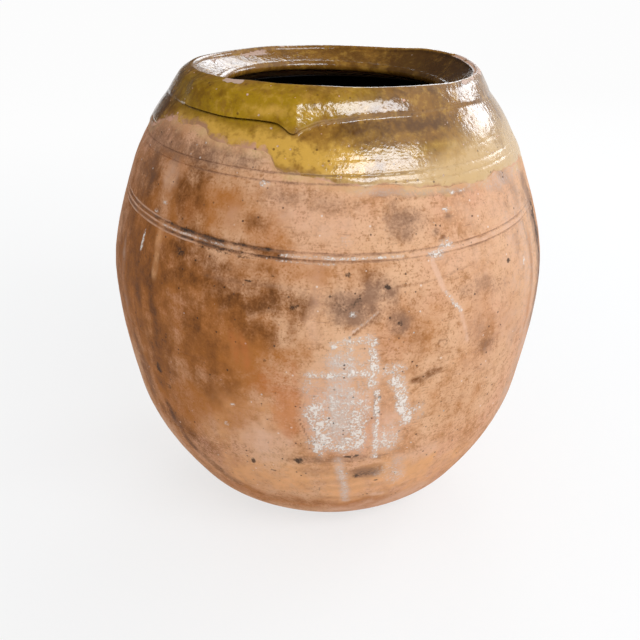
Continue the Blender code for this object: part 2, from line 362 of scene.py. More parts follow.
# %% [markdown]
# ## A tree for pieces that are not quite round
# The shoulder leans, the collar's edge wanders and the glaze runs. Their skins are lofted in
# Python, ring by ring, and this smaller tree then presses the same marks of the hand into them.

# %% Tree: handled clay
handled_clay, given_loft = new_tree("handled_clay", {"Material": "Material"})
end_tree(handled_clay, handle_clay(given_loft["Geometry"]), given_loft["Material"])
print("handled_clay has", len(handled_clay.nodes), "nodes")

# %% [markdown]
# ## From a tree to a plain mesh
# A tree hangs on an object as a modifier and is worked out again whenever something changes. A
# finished piece should be a plain mesh that anyone can use, so the object is evaluated once, the
# result becomes its mesh, and the modifier goes. A tree's inputs are set by their identifiers.

# %% Run a tree
CREASE_ANGLE = math.radians(50)


def weld(mesh):
    """Merges the points that meet on the axis, and drops the bare edges that this leaves."""
    shape = bmesh.new()
    shape.from_mesh(mesh)
    bmesh.ops.remove_doubles(shape, verts=shape.verts, dist=WELD_GAP)
    bare = [edge for edge in shape.edges if not edge.link_faces]
    bmesh.ops.delete(shape, geom=bare, context="EDGES")
    bmesh.ops.recalc_face_normals(shape, faces=shape.faces)
    shape.to_mesh(mesh)
    shape.free()


def run_tree(name, mesh, tree, values):
    """Runs a tree on a mesh and returns the result as a plain mesh object at the origin."""
    piece = bpy.data.objects.new(name, mesh)
    bpy.context.scene.collection.objects.link(piece)
    modifier = piece.modifiers.new(name, "NODES")
    modifier.node_group = tree
    inputs = [item for item in tree.interface.items_tree if item.in_out == "INPUT"]
    sockets = {item.name: item.identifier for item in inputs}
    for label, value in values.items():
        modifier[sockets[label]] = value
    evaluated = piece.evaluated_get(bpy.context.evaluated_depsgraph_get())
    made = bpy.data.meshes.new_from_object(evaluated)
    piece.modifiers.clear()
    piece.data = made
    made.name = name
    bpy.data.meshes.remove(mesh)
    made.set_sharp_from_angle(angle=CREASE_ANGLE)
    return piece


print("edges are sharp from", round(math.degrees(CREASE_ANGLE)), "degrees")

# %% Names for the finishes
# The trees need materials to set. They are empty for now and filled in further down.
clay = bpy.data.materials.new("weathered_terracotta")
glaze = bpy.data.materials.new("pooled_amber_glaze")
shaded_glaze = bpy.data.materials.new("inner_glaze_painted_shade")
print("materials to fill in:", clay.name, glaze.name, shaded_glaze.name)

# %% [markdown]
# ## The slab and the three courses of the wall
# A jar this wide is too heavy to throw in one go. The potter cuts a slab, throws a course on it,
# lets it stiffen and lutes on the next. The courses meet here without a gap, since the joints were
# smoothed over, and only the faint grooves at the seams tell.

# %% Slab and courses
STEPS = 840
WALL_THICKNESS, SLAB_THICKNESS, SOLID = 0.012, 0.018, 1.0
ROW_CROWDING = 0.55
# Each course: its lower and upper height, its thickness, and its rows outside and inside.
COURSES = {
    "foot_slab": (0.0, SLAB_THICKNESS, SOLID, 14, 1),
    "lower_course": (SLAB_THICKNESS, SEAM_HEIGHTS[0], WALL_THICKNESS, 66, 10),
    "belly_course": (SEAM_HEIGHTS[0], SEAM_HEIGHTS[1], WALL_THICKNESS, 52, 8),
    "upper_course": (SEAM_HEIGHTS[1], SEAM_HEIGHTS[2], WALL_THICKNESS, 44, 8),
}


def wall_line():
    """The outside line as a mesh of points, one every LINE_STEP of height."""
    heights = np.arange(0, NECK_HEIGHT + LINE_STEP / 2, LINE_STEP)
    mesh = bpy.data.meshes.new("wall_line")
    mesh.from_pydata([(r, 0, z) for r, z in zip(outer_radius(heights), heights)], [], [])
    return mesh


pieces = {}
for name, (low, high, thickness, outer_rows, inner_rows) in COURSES.items():
    values = {"Steps": STEPS, "Outer Rows": outer_rows, "Inner Rows": inner_rows, "Low": low}
    values |= {"High": high, "Thickness": thickness, "Crowd": ROW_CROWDING, "Material": clay}
    pieces[name] = run_tree(name, wall_line(), thrown_wall, values)
    weld(pieces[name].data)
    print(name, len(pieces[name].data.polygons), "faces")

# %% [markdown]
# ## Lofts
# A loft is a stack of rings: for every row there is an array of radii and one of heights, with an
# entry for each turn. NumPy works a whole ring at a time, so an edge that wanders or a fold that
# opens on one side only is a matter of adding an array. The rows close on themselves, so each
# piece is a closed skin with an inside and an outside.

# %% Loft
TURNS = np.arange(STEPS) * math.tau / STEPS - math.pi


def loft(name, section, turns, skins):
    """A closed skin through rows of (radius, height), with skin 1 on rows that take hand marks."""
    count = len(turns)
    radii = np.array([np.broadcast_to(r, count) for r, z in section])
    heights = np.array([np.broadcast_to(z, count) for r, z in section])
    points = np.stack((radii * np.sin(turns), -radii * np.cos(turns), heights), axis=-1)
    points = points.reshape(-1, 3)
    here = np.arange(len(points)).reshape(len(section), count)
    above, beside = np.roll(here, -1, 0), np.roll(here, -1, 1)
    faces = np.stack((here, beside, np.roll(above, -1, 1), above), axis=-1).reshape(-1, 4)
    mesh = bpy.data.meshes.new(name)
    mesh.from_pydata(points.tolist(), [], faces.tolist())
    mesh.shade_smooth()
    skin = mesh.attributes.new("skin", "FLOAT", "POINT")
    skin.data.foreach_set("value", np.repeat(np.array(skins, np.float32), count))
    return mesh


def make_loft(name, section, turns, skins, material, welded=False):
    """Lofts a piece, presses the marks of the hand into it and keeps it under its name."""
    mesh = loft(name, section, turns, skins)
    if welded:
        weld(mesh)
    pieces[name] = run_tree(name, mesh, handled_clay, {"Material": material})
    print(name, len(pieces[name].data.polygons), "faces")


def steps_to(start, end, count):
    """Shares from start to end, without the end."""
    return [start + (end - start) * i / count for i in range(count)]


def blend(a, b, share):
    """Point between two points of a section."""
    return (a[0] + (b[0] - a[0]) * share, a[1] + (b[1] - a[1]) * share)


def rise(value, low, high):
    """0 below low, 1 above high, smooth between: the same curve as Wire.between, for arrays."""
    t = np.clip((value - low) / (high - low), 0, 1)
    return t * t * (3 - 2 * t)


belly_step = math.tau * max(STATION_RADII) / STEPS
print(STEPS, "steps round, one every", round(belly_step * 1000, 2), "mm at the belly")

# %% [markdown]
# ## The leaning mouth
# The mouth was pressed a little to one side as the jar was lifted off: its throat leans down to
# the right front. The lip above it is not quite level either. It dips to the right of the front
# and rises again behind, so its top is a curve drawn through points, as turn in degrees and height
# in metres.

# %% Mouth
LIP_RADIUS, LIP_ROUNDING, GLAZE_THICKNESS = 0.1385, 0.003, 0.0010
LIP_LINE = (
    (-167, 0.4492), (-151, 0.4502), (-137, 0.4501), (-120, 0.4504), (-102, 0.4516), (-65, 0.4522),
    (-40, 0.4521), (-29, 0.4528), (-19, 0.4522), (-3, 0.4517), (9.5, 0.4504), (28, 0.4491),
    (39, 0.4482), (52, 0.4467), (66, 0.4468), (95, 0.4480), (107, 0.4502), (117, 0.4510),
    (131, 0.4513), (143, 0.4495), (155, 0.4486), (179, 0.4491),
)
THROAT_CENTRE, THROAT_NOSE = (0.110, 0.4295), 0.004
MOUTH_OFFSET, MOUTH_LEAN, MOUTH_LEAN_TURN = 0.005, 0.004, math.radians(65)
CLAY_SEAT = (0.124, 0.4360)


def ring_curve(points):
    """A smooth curve once round the jar through (turn in degrees, value), closed at the back."""
    turns = np.array([turn for turn, value in points], float)
    values = [value for turn, value in points]
    curve = smooth_curve(np.concatenate((turns - 360, turns, turns + 360)), values * 3)
    return lambda radians: curve(np.degrees(radians))


lip_line = ring_curve(LIP_LINE)


def mouth_shift(turns):
    """How far the mouth moves out and up at each turn."""
    return MOUTH_OFFSET * np.sin(turns), -MOUTH_LEAN * np.cos(turns - MOUTH_LEAN_TURN)


def with_mouth(point, turns):
    """A point of the section, moved with the mouth."""
    out, up = mouth_shift(turns)
    return (point[0] + out, point[1] + up)


def round_off(centre, radius, first, last, count, turns):
    """Points of an arc in the section, in degrees from pointing outwards, moved with the mouth."""
    angles = [math.radians(first + (last - first) * i / (count - 1)) for i in range(count)]
    arc = [(centre[0] + radius * math.cos(a), centre[1] + radius * math.sin(a)) for a in angles]
    return [with_mouth(point, turns) for point in arc]


def inner_face(height, thickness):
    """Point one wall thickness square in from the outside at this height."""
    lean = (outer_radius(height + LINE_STEP) - outer_radius(height - LINE_STEP)) / (2 * LINE_STEP)
    along = thickness / math.hypot(1, lean)
    return (outer_radius(height) - along, height + along * lean)


print("mouth leans by", MOUTH_LEAN * 1000, "mm")

# %% [markdown]
# ## The shoulder
# The last course closes in to the neck, and its top is turned in to a throat that once held a lid.
# Its rows are not level: they tilt with the two bands of cut lines, so that each line runs along
# rows of faces and stays crisp, and they are close together only where the lines are.

# %% Shoulder
LINE_ROOM = 0.0072
NECK_START, NECK_ROOM = 0.416, 0.012
SHOULDER_ROWS = (9, 26, 20, 24, 7, 5)
INNER_TOP, SEAM_LAP, INNER_ROWS = 0.424, 0.003, 12


def tilted_rows(turns):
    """Heights of the shoulder's rows, from the upper seam to the neck, following the cut lines."""
    front, side = np.cos(turns), np.sin(turns)
    belly = band_height(BELLY_BAND, front, side)
    shoulder = band_height(SHOULDER_BAND, front, side)
    stops = [SEAM_HEIGHTS[-1], belly - LINE_ROOM, belly + LINE_ROOM, shoulder - LINE_ROOM]
    stops += [shoulder + LINE_ROOM, np.maximum(NECK_START, shoulder + NECK_ROOM), NECK_HEIGHT]
    found = []
    for low, high, count in zip(stops, stops[1:], SHOULDER_ROWS):
        found += [low + (high - low) * share for share in steps_to(0.0, 1.0, count)]
    return found + [np.full_like(turns, NECK_HEIGHT)]


outer = [(outer_radius(z), z) for z in tilted_rows(TURNS)]
nose = round_off(THROAT_CENTRE, THROAT_NOSE, 90, 270, 5, TURNS)
levels = np.linspace(INNER_TOP, SEAM_HEIGHTS[-1] + SEAM_LAP, INNER_ROWS)
inner = [with_mouth(CLAY_SEAT, TURNS), *nose, *(inner_face(z, WALL_THICKNESS) for z in levels)]
make_loft("shoulder_course", outer + inner, TURNS, [1] * len(outer) + [0] * len(inner), clay)

# %% [markdown]
# ## The folded collar
# A strip of clay was folded over the neck to strengthen the mouth. To the left its lower edge
# never closed on the wall and leaves an open crevice. Its two ends lap near the front, where the
# edge dips to a point, and to the right the edge was wiped down to a soft crease. How far the
# strip stands out changes as well: it is nearly wiped away at both sides. The edge is drawn
# through points read off, given as turn in degrees and height.

# %% Collar's edge
COLLAR_EDGE = (
    (-150, 0.4285), (-120, 0.4275), (-90, 0.4270), (-70, 0.4272), (-49, 0.4270), (-41, 0.4262),
    (-31, 0.4252), (-24.5, 0.4254), (-20, 0.4251), (-16, 0.4242), (-13.6, 0.4215), (-10.3, 0.4168),
    (-8, 0.4200), (-2.3, 0.4253), (5, 0.4274), (12, 0.4288), (20, 0.4291), (28, 0.4284),
    (46, 0.4287), (61, 0.4270), (90, 0.4272), (120, 0.4285), (150, 0.4290), (180, 0.4288),
)
# How far the crevice is open, from 0 to 1, and how far the collar stands out, in metres.
CREVICE = (
    (-180, 0.0), (-150, 0.7), (-120, 0.8), (-90, 0.3), (-70, 0.1), (-57, 0.15), (-51, 0.9),
    (-46, 1.0), (-12, 1.0), (-9.8, 0.35), (-8, 0.05), (0, 0.0), (60, 0.0), (110, 0.3), (140, 0.0),
)
COLLAR_STEP = (
    (-180, 0.0025), (-120, 0.0012), (-90, 0.0003), (-70, 0.0003), (-60, 0.0012), (-50, 0.0030),
    (-12, 0.0036), (0, 0.0034), (20, 0.0026), (45, 0.0016), (65, 0.0010), (90, 0.0010),
    (130, 0.0020),
)
COLLAR_ROLL, COLLAR_KNEE, KNEE_PULL, LIP_START = -0.0066, 0.80, 3.0, 60
collar_edge, crevice, collar_step = map(ring_curve, (COLLAR_EDGE, CREVICE, COLLAR_STEP))
print("collar's edge dips to", min(height for turn, height in COLLAR_EDGE), "m at the lap")


# %% Collar
def lip(turns, off, count):
    """Rows over the rounded lip, from where the collar's face meets it to its inner side."""
    # The line through the lip holds the lean already, and rounding off would add it once more.
    lean = mouth_shift(turns)[1]
    lift = lip_line(turns) - GLAZE_THICKNESS - LIP_ROUNDING - lean
    middle = (LIP_RADIUS - LIP_ROUNDING, 0.0)
    arc = round_off(middle, LIP_ROUNDING + off, LIP_START, 180, count, turns)
    return [(r, z + lift) for r, z in arc]


def collar_knee(turns, low, off):
    """The collar's lower edge, the knee in its face and the point where the face meets the lip."""
    step = collar_step(turns)
    start, end = (outer_radius(low) + step + off, low), lip(turns, off, 2)[0]
    rolled = (start[0] + COLLAR_ROLL, low + COLLAR_KNEE * (end[1] - low))
    knee = blend(blend(start, end, COLLAR_KNEE), rolled, 0.45 + 0.55 * rise(step, 0.0008, 0.0032))
    return start, knee, end


def collar_face(turns, low, off, count):
    """Rows up the collar's face: nearly flat from low, then over the knee to the lip."""
    corners = collar_knee(turns, low, off)
    face = []
    for angle in steps_to(0.0, math.pi, count):
        share = 0.5 - 0.5 * math.cos(angle)
        pulls = ((1 - share) ** 2, 2 * KNEE_PULL * share * (1 - share), share ** 2)
        row = [sum(w * p[axis] for w, p in zip(pulls, corners)) / sum(pulls) for axis in (0, 1)]
        face.append(row)
    return face


COLLAR_TUCK, CLAY_GAP = 0.0045, 0.0004
coarse = TURNS[::2]
low = collar_edge(coarse) + COLLAR_TUCK
levels = [low + (NECK_HEIGHT - low) * share for share in (1, 0.5, 0)]
neck = [(outer_radius(z) + CLAY_GAP, z) for z in levels]
section = collar_face(coarse, low, 0.0, 10) + lip(coarse, 0.0, 7)
section += [with_mouth(CLAY_SEAT, coarse)] + neck
make_loft("folded_collar", section, coarse, [1] * len(section), clay)

# %% [markdown]
# ## The glaze over the mouth
# The jar was upended and its mouth dipped in glaze, which ran to an uneven edge: high on the left,
# low on the right. The coat stands about a millimetre proud of the clay. At its edge it dives
# under the clay, so that the line where it ends comes from the shapes and needs no mask. In the
# collar's open crevice it folds inwards, and along the soft part of the edge it fills the corner.

# %% Glaze edge
GLAZE_EDGE = (
    (-150, 0.3900), (-120, 0.3930), (-95, 0.3960), (-80, 0.3985), (-71, 0.4010), (-66, 0.4070),
    (-60, 0.4110), (-50, 0.4135), (-45, 0.4140), (-40, 0.4115), (-34, 0.4055), (-27, 0.4040),
    (-20, 0.4020), (-16.5, 0.4000), (-14, 0.3915), (-7, 0.3862), (0, 0.3822), (5, 0.3802),
    (12, 0.3785), (20, 0.3770), (27, 0.3738), (36, 0.3712), (44, 0.3710), (54, 0.3725),
    (68, 0.3696), (90, 0.3680), (120, 0.3720), (150, 0.3775), (180, 0.3835),
)
EDGE_WANDER = 0.0032
dip = ring_curve(GLAZE_EDGE)


def glaze_edge(turns):
    """Height of the glaze's lower edge, with small runs and bays."""
    waves = sum(np.sin(turns * n + n * n) / n ** 0.5 for n in (19, 31, 47, 83))
    return dip(turns) + EDGE_WANDER * waves


edge, top = glaze_edge(TURNS), collar_edge(TURNS)
print("glaze edge between", round(edge.min(), 4), "and", round(edge.max(), 4), "m")

# %% Glaze skin
EDGE_TUCK, EDGE_SLOPE, UNDER_CLAY = 0.0015, 0.006, 0.0004


def glaze_wall(edge, top, count):
    """Rows of glaze up the wall, from just under the clay to the collar, closer at the edge."""
    face = []
    for share in steps_to(0.0, 1.0, count):
        z = edge - EDGE_TUCK + (top - edge + EDGE_TUCK) * (0.45 * share + 0.55 * share ** 2)
        full = rise(z, edge - EDGE_TUCK, edge + EDGE_SLOPE)
        coat = -UNDER_CLAY + (GLAZE_THICKNESS + UNDER_CLAY) * full
        face.append((outer_radius(z) + coat, z))
    return face


# Rows of the corner: share of the way from wall to face, a step out and a step up.
SOFT_CORNER = (
    (0.0, 0.0, -0.0024), (0.06, 0.0, -0.0014), (0.25, 0.0, -0.0005), (0.5, 0.0, 0.0004),
    (0.75, 0.0, 0.0013), (0.94, 0.0, 0.0022), (1.0, 0.0, 0.0032),
)
OPEN_CORNER = (
    (0.0, 0.0003, -0.0040), (0.0, 0.0009, -0.0024), (0.0, 0.0009, -0.0012), (0.0, -0.0008, 0.0004),
    (1.0, -0.0016, 0.0002), (1.0, 0.0001, 0.0010), (1.0, 0.0, 0.0030),
)


def glaze_corner(turns, top):
    """Rows from the wall out to the collar's face, folded in where the crevice is open."""
    opened = crevice(turns)
    start, knee, _ = collar_knee(turns, top, GLAZE_THICKNESS)
    lean = (knee[0] - start[0]) / (knee[1] - start[1])
    corner = []
    for soft, sharp in zip(SOFT_CORNER, OPEN_CORNER):
        share, out, up = [a + (b - a) * opened for a, b in zip(soft, sharp)]
        wall_radius, face_radius = outer_radius(top + up) + GLAZE_THICKNESS, start[0] + lean * up
        corner.append((wall_radius + (face_radius - wall_radius) * share + out, top + up))
    return corner


WALL_ROWS, FACE_ROWS, SLOPE_ROWS = 46, 22, 10
CORNER_DROP, SLOPE_SAG = 0.0008, 0.0003
# The corner takes the place of the first rows of the face.
CORNER_FACE_ROWS = 4
corner = glaze_corner(TURNS, top)
wall = glaze_wall(edge, corner[0][1] - CORNER_DROP, WALL_ROWS)
face = collar_face(TURNS, top, GLAZE_THICKNESS, FACE_ROWS)[CORNER_FACE_ROWS:]
rim = lip(TURNS, GLAZE_THICKNESS, 9)
nose = round_off(THROAT_CENTRE, THROAT_NOSE + GLAZE_THICKNESS, 90, 285, 10, TURNS)
slope = []
for i in range(1, SLOPE_ROWS):
    r, z = blend(rim[-1], nose[0], i / SLOPE_ROWS)
    slope.append((r, z - SLOPE_SAG * math.sin(math.pi * i / SLOPE_ROWS)))
skin = wall + corner + face + rim + slope + nose
print("glaze skin of", len(skin), "rows")

# %% Glaze coat
BACKING = 0.0020


def backing(numbers):
    """Rows of the coat's hidden side, a little way into the clay behind these rows of its skin."""
    hidden = []
    for i in numbers:
        before, here, after = skin[i - 1:i + 2]
        out, up = after[0] - before[0], after[1] - before[1]
        length = np.hypot(out, up)
        hidden.append((here[0] - up / length * BACKING, here[1] + out / length * BACKING))
    return hidden


lip_rows, end_row = len(wall) + len(corner) + len(face), len(skin)
under = backing([end_row - 3, end_row - 7, end_row - 14, lip_rows + 4, lip_rows - 6, lip_rows - 14])
under += [(outer_radius(top) - BACKING, top + 0.001)] + backing([len(wall) - 3, 20, 2])
make_loft("mouth_glaze_coat", skin + under, TURNS, [1] * len(skin + under), glaze)

# %% [markdown]
# ## The glaze inside
# Oil would soak through bare earthenware, so the jar was glazed inside as well. Little light
# reaches it, so it is painted nearly black as shade. It is a plain lofted skin with few steps.

# %% Inner glaze
INNER_TURNS = TURNS[::3]
INNER_COAT = 0.0012
# Along the floor from the axis, up the wall, and to just under the throat.
heights = np.concatenate((np.linspace(0.030, 0.30, 40), np.linspace(0.306, 0.424, 20)))
path = [(0.0, SLAB_THICKNESS), (0.05, SLAB_THICKNESS), (0.085, SLAB_THICKNESS)]
path += [inner_face(z, WALL_THICKNESS) for z in heights] + [(0.127, 0.4190)]


def set_off(points, distance):
    """The path moved in from the clay by a distance, square to its direction."""
    ends = [points[0]] + points + [points[-1]]
    found = []
    for before, here, after in zip(ends, points, ends[2:]):
        length = math.hypot(after[0] - before[0], after[1] - before[1])
        r = here[0] - (after[1] - before[1]) / length * distance
        found.append((max(r, 0.0), here[1] + (after[0] - before[0]) / length * distance))
    return found


section = set_off(path, CLAY_GAP) + set_off(path, INNER_COAT)[::-1]
make_loft("inner_glaze_coat", section, INNER_TURNS, [0] * len(section), shaded_glaze, welded=True)

# %% [markdown]
# ## Stains as strokes
# The bare clay is a record of use: oil has soaked in from the left, lime has run down the front
# where water stood, soot and dirt sit in the cut lines. On the real jar these are thin films, so
# they are colour and a little crust, not shape. Some strokes are painted light and shade instead:
# a sheen down the left edge, shade down the right edge, light low on the front and two glints.
# They could be painted as an image, but a list of strokes can be read and changed. Strokes are
# sorted by kind. Each has a strength, a half width and a half height in millimetres, and the
# points that it runs through, as turn in degrees and height in millimetres. Every point of the
# mesh keeps how far it lies within the strokes of each kind, and the clay's shader does the rest.

# %% Oil and dirt on the left, and a painted sheen down its edge
LEFT_SOAK_AND_SHEEN = {
    "wash": (
        (1.00, 80, 120, (-52, 275)), (1.00, 70, 62, (-26, 245)),
        (0.70, 60, 38, (-50, 150), (-30, 185)), (0.40, 60, 26, (-42, 110), (-20, 92)),
        (0.60, 60, 16, (-30, 58), (18, 56)), (0.55, 40, 22, (-20, 312)),
        (0.75, 60, 34, (-34, 360)), (0.70, 40, 40, (-64, 340)),
        (0.60, 30, 14, (-16, 316), (-6, 314)), (0.55, 24, 20, (-17, 348), (-14, 330)),
        (0.50, 14, 20, (-9, 284)), (0.95, 34, 28, (-34, 296)),
        (0.90, 22, 36, (-43, 258), (-49, 180)), (0.80, 20, 40, (-62, 220)),
    ),
    "oil": (
        (0.55, 60, 110, (-60, 300)), (0.65, 34, 80, (-49, 270)), (0.60, 50, 50, (-32, 262)),
        (0.50, 36, 36, (-30, 215)), (0.70, 24, 22, (-40, 366)),
        (0.50, 14, 34, (-36, 388), (-35, 335)), (0.55, 14, 18, (-41, 262)),
        (0.55, 14, 12, (-49, 180)), (0.70, 30, 20, (-44, 304), (-27, 298)),
        (0.75, 26, 18, (-38, 386)), (0.70, 24, 10, (-40, 318), (-26, 312)),
        (0.60, 26, 66, (-45, 228)), (0.60, 4, 40, (-57, 330), (-56, 240)),
        (0.55, 4, 30, (-44, 300), (-43.5, 225)), (0.50, 3, 24, (-34, 290), (-33.5, 232)),
        (0.60, 26, 28, (-58, 366)), (0.75, 26, 14, (-22, 286), (-9, 289)),
        (0.60, 26, 16, (-22, 270), (-14, 262)), (0.50, 12, 14, (-9, 273), (-9.5, 262)),
        (0.58, 12, 9, (-17.5, 350)), (0.50, 22, 16, (-50, 142), (-36, 116)),
        (0.75, 7, 8, (-49, 150), (-44, 112), (-31, 72)), (0.45, 30, 6, (-17, 61), (-3, 58)),
        (0.60, 14, 24, (-54, 300), (-52.5, 262), (-50, 205)), (0.70, 9, 14, (-48.5, 304)),
        (0.60, 8, 12, (-38.5, 330), (-38, 288)), (0.60, 8, 10, (-40.5, 382), (-40, 346)),
        (0.55, 8, 6, (-49, 345)), (0.60, 4, 4, (-68, 403)), (0.75, 9, 10, (-9, 287)),
        (0.60, 22, 24, (-38, 298)), (0.45, 18, 8, (-18, 317), (-12, 312)),
        (0.55, 30, 14, (-36, 305), (-16, 300)), (0.55, 16, 28, (-61, 210), (-57, 165)),
    ),
    "soot_and_shade": (
        (0.40, 9, 8, (-52, 303)), (0.55, 6, 6, (-38.4, 317)), (0.42, 6, 7, (-8, 288)),
        (0.60, 6, 9, (-48.5, 192)), (0.75, 5, 3, (-45.6, 178)), (0.60, 5, 1.6, (-19, 305)),
        (0.55, 3, 2, (-23.5, 312)), (0.55, 3, 2, (-13, 311.5)), (0.60, 4, 2.4, (-15, 237.5)),
    ),
    "smoke_and_shade": (
        (0.35, 22, 3, (-29, 304), (-8, 302)), (0.60, 40, 13, (-66, 393), (-26, 396)),
        (0.60, 24, 14, (-72, 406), (-56, 401)), (0.40, 30, 26, (-62, 372)),
        (0.45, 26, 9, (-14, 373), (2, 366)),
    ),
    "blush": (
        (0.65, 30, 26, (-17, 148)), (0.30, 14, 30, (-4, 318), (-3, 272)),
        # The last stroke on the next line is a painted sheen down the left edge of the wall.
        (0.40, 26, 14, (-11, 357), (2, 348)), (0.35, 8, 36, (-64, 290), (-62, 230)),
        (0.50, 12, 16, (-47, 372)), (0.35, 14, 14, (-25, 352)),
    ),
    "warm": (
        (0.60, 5, 8, (-46.5, 334), (-46.5, 291)),
    ),
    "rust": (
        (0.65, 4, 12, (-22.5, 257), (-21.5, 240)), (0.60, 4, 12, (-20, 254), (-19, 236)),
        (0.50, 28, 22, (-13, 214)), (0.60, 16, 28, (-10, 215), (-10, 172)),
        (0.40, 24, 12, (-38, 352)),
    ),
}


def strokes(*tables):
    """The strokes of some tables in one list, each with its kind in front."""
    groups = [group for table in tables for group in table.items()]
    return [(kind, *stroke) for kind, group in groups for stroke in group]


print(len(strokes(LEFT_SOAK_AND_SHEEN)), "strokes on the left")

# %% Lime down the front, and two painted glints
LIME_RUNS_AND_GLINTS = {
    "lime_and_glint": (
        (0.95, 6, 5, (1.2, 254)), (0.70, 6, 5, (3.5, 258), (9.2, 259)),
        (0.75, 7, 9, (9.2, 256), (9.8, 218)), (0.55, 5, 8, (4.6, 256), (4, 234)),
        (0.45, 9, 22, (-5, 212)), (0.70, 8, 4.5, (-4.5, 226), (3, 227), (11, 228)),
        (0.42, 26, 20, (4, 238)), (0.65, 8, 7, (12, 228), (16, 229)),
        (0.90, 12, 26, (-2.8, 180), (-2, 160)), (0.85, 12, 8, (-1, 151), (3, 148), (6, 152)),
        (0.80, 11, 26, (7.0, 182), (7.2, 162)), (0.50, 34, 50, (3, 196)),
        (0.85, 3.4, 5, (11.0, 206), (11.8, 134)),
        (0.85, 8, 8, (15.6, 217), (17.4, 196), (19.2, 172)), (0.55, 9, 14, (22, 180)),
        (0.60, 18, 22, (15, 152)), (0.45, 12, 12, (15, 112), (20, 96)),
        (0.38, 4, 5, (3, 124), (5.5, 72)), (0.70, 4, 3, (5.3, 282)),
        (0.90, 3.0, 2.2, (-26.8, 161)), (0.85, 3.0, 2.0, (-24, 184)),
        (0.80, 6, 2.6, (-16.8, 380.5)), (0.90, 4.0, 1.8, (-47, 352)), (0.85, 4.0, 1.8, (-50, 343)),
        (0.85, 4.0, 1.8, (33, 368)), (0.80, 5, 1.6, (36.5, 369)), (0.90, 6, 2.0, (30.5, 356)),
        (0.75, 9, 7, (29, 328)), (0.70, 10, 5, (26, 322)), (0.45, 8, 6, (4, 339)),
        # The two strokes on the next line are painted glints, white spots of light on the wall.
        (1.00, 3.2, 3.4, (57.5, 291)), (1.00, 1.8, 4.0, (-53.2, 319), (-53.8, 308)),
        (0.75, 2.4, 2.4, (27.5, 291), (31.5, 272)), (0.58, 1.1, 1.1, (4.5, 264.6), (10.8, 282.3)),
    ),
    "oil": (
        (0.70, 1.4, 3, (10.6, 206), (11.0, 176)), (0.70, 1.4, 1.4, (5.3, 264.0), (11.4, 281.0)),
        (0.80, 1.0, 1.0, (-7, 175), (-5, 157), (-0.5, 141.5)),
    ),
    "film": (
        (0.90, 14, 14, (2.5, 236), (2.5, 200), (3.0, 158)), (0.65, 6, 6, (2.5, 130), (6, 66)),
    ),
    "blush": (
        (0.60, 34, 44, (4, 200)), (0.90, 3.0, 3.0, (24.5, 318), (27, 294)),
        (0.95, 2.4, 2.4, (31.5, 272), (34, 241)), (0.70, 1.2, 1.2, (4.5, 264.6), (10.8, 282.3)),
    ),
    "smoke_and_shade": (
        (0.70, 1.2, 1.2, (1, 176), (0.8, 163), (3, 156.5), (5.3, 163), (5, 177), (3, 179)),
    ),
}
print(len(strokes(LIME_RUNS_AND_GLINTS)), "strokes of lime and what lies round it")
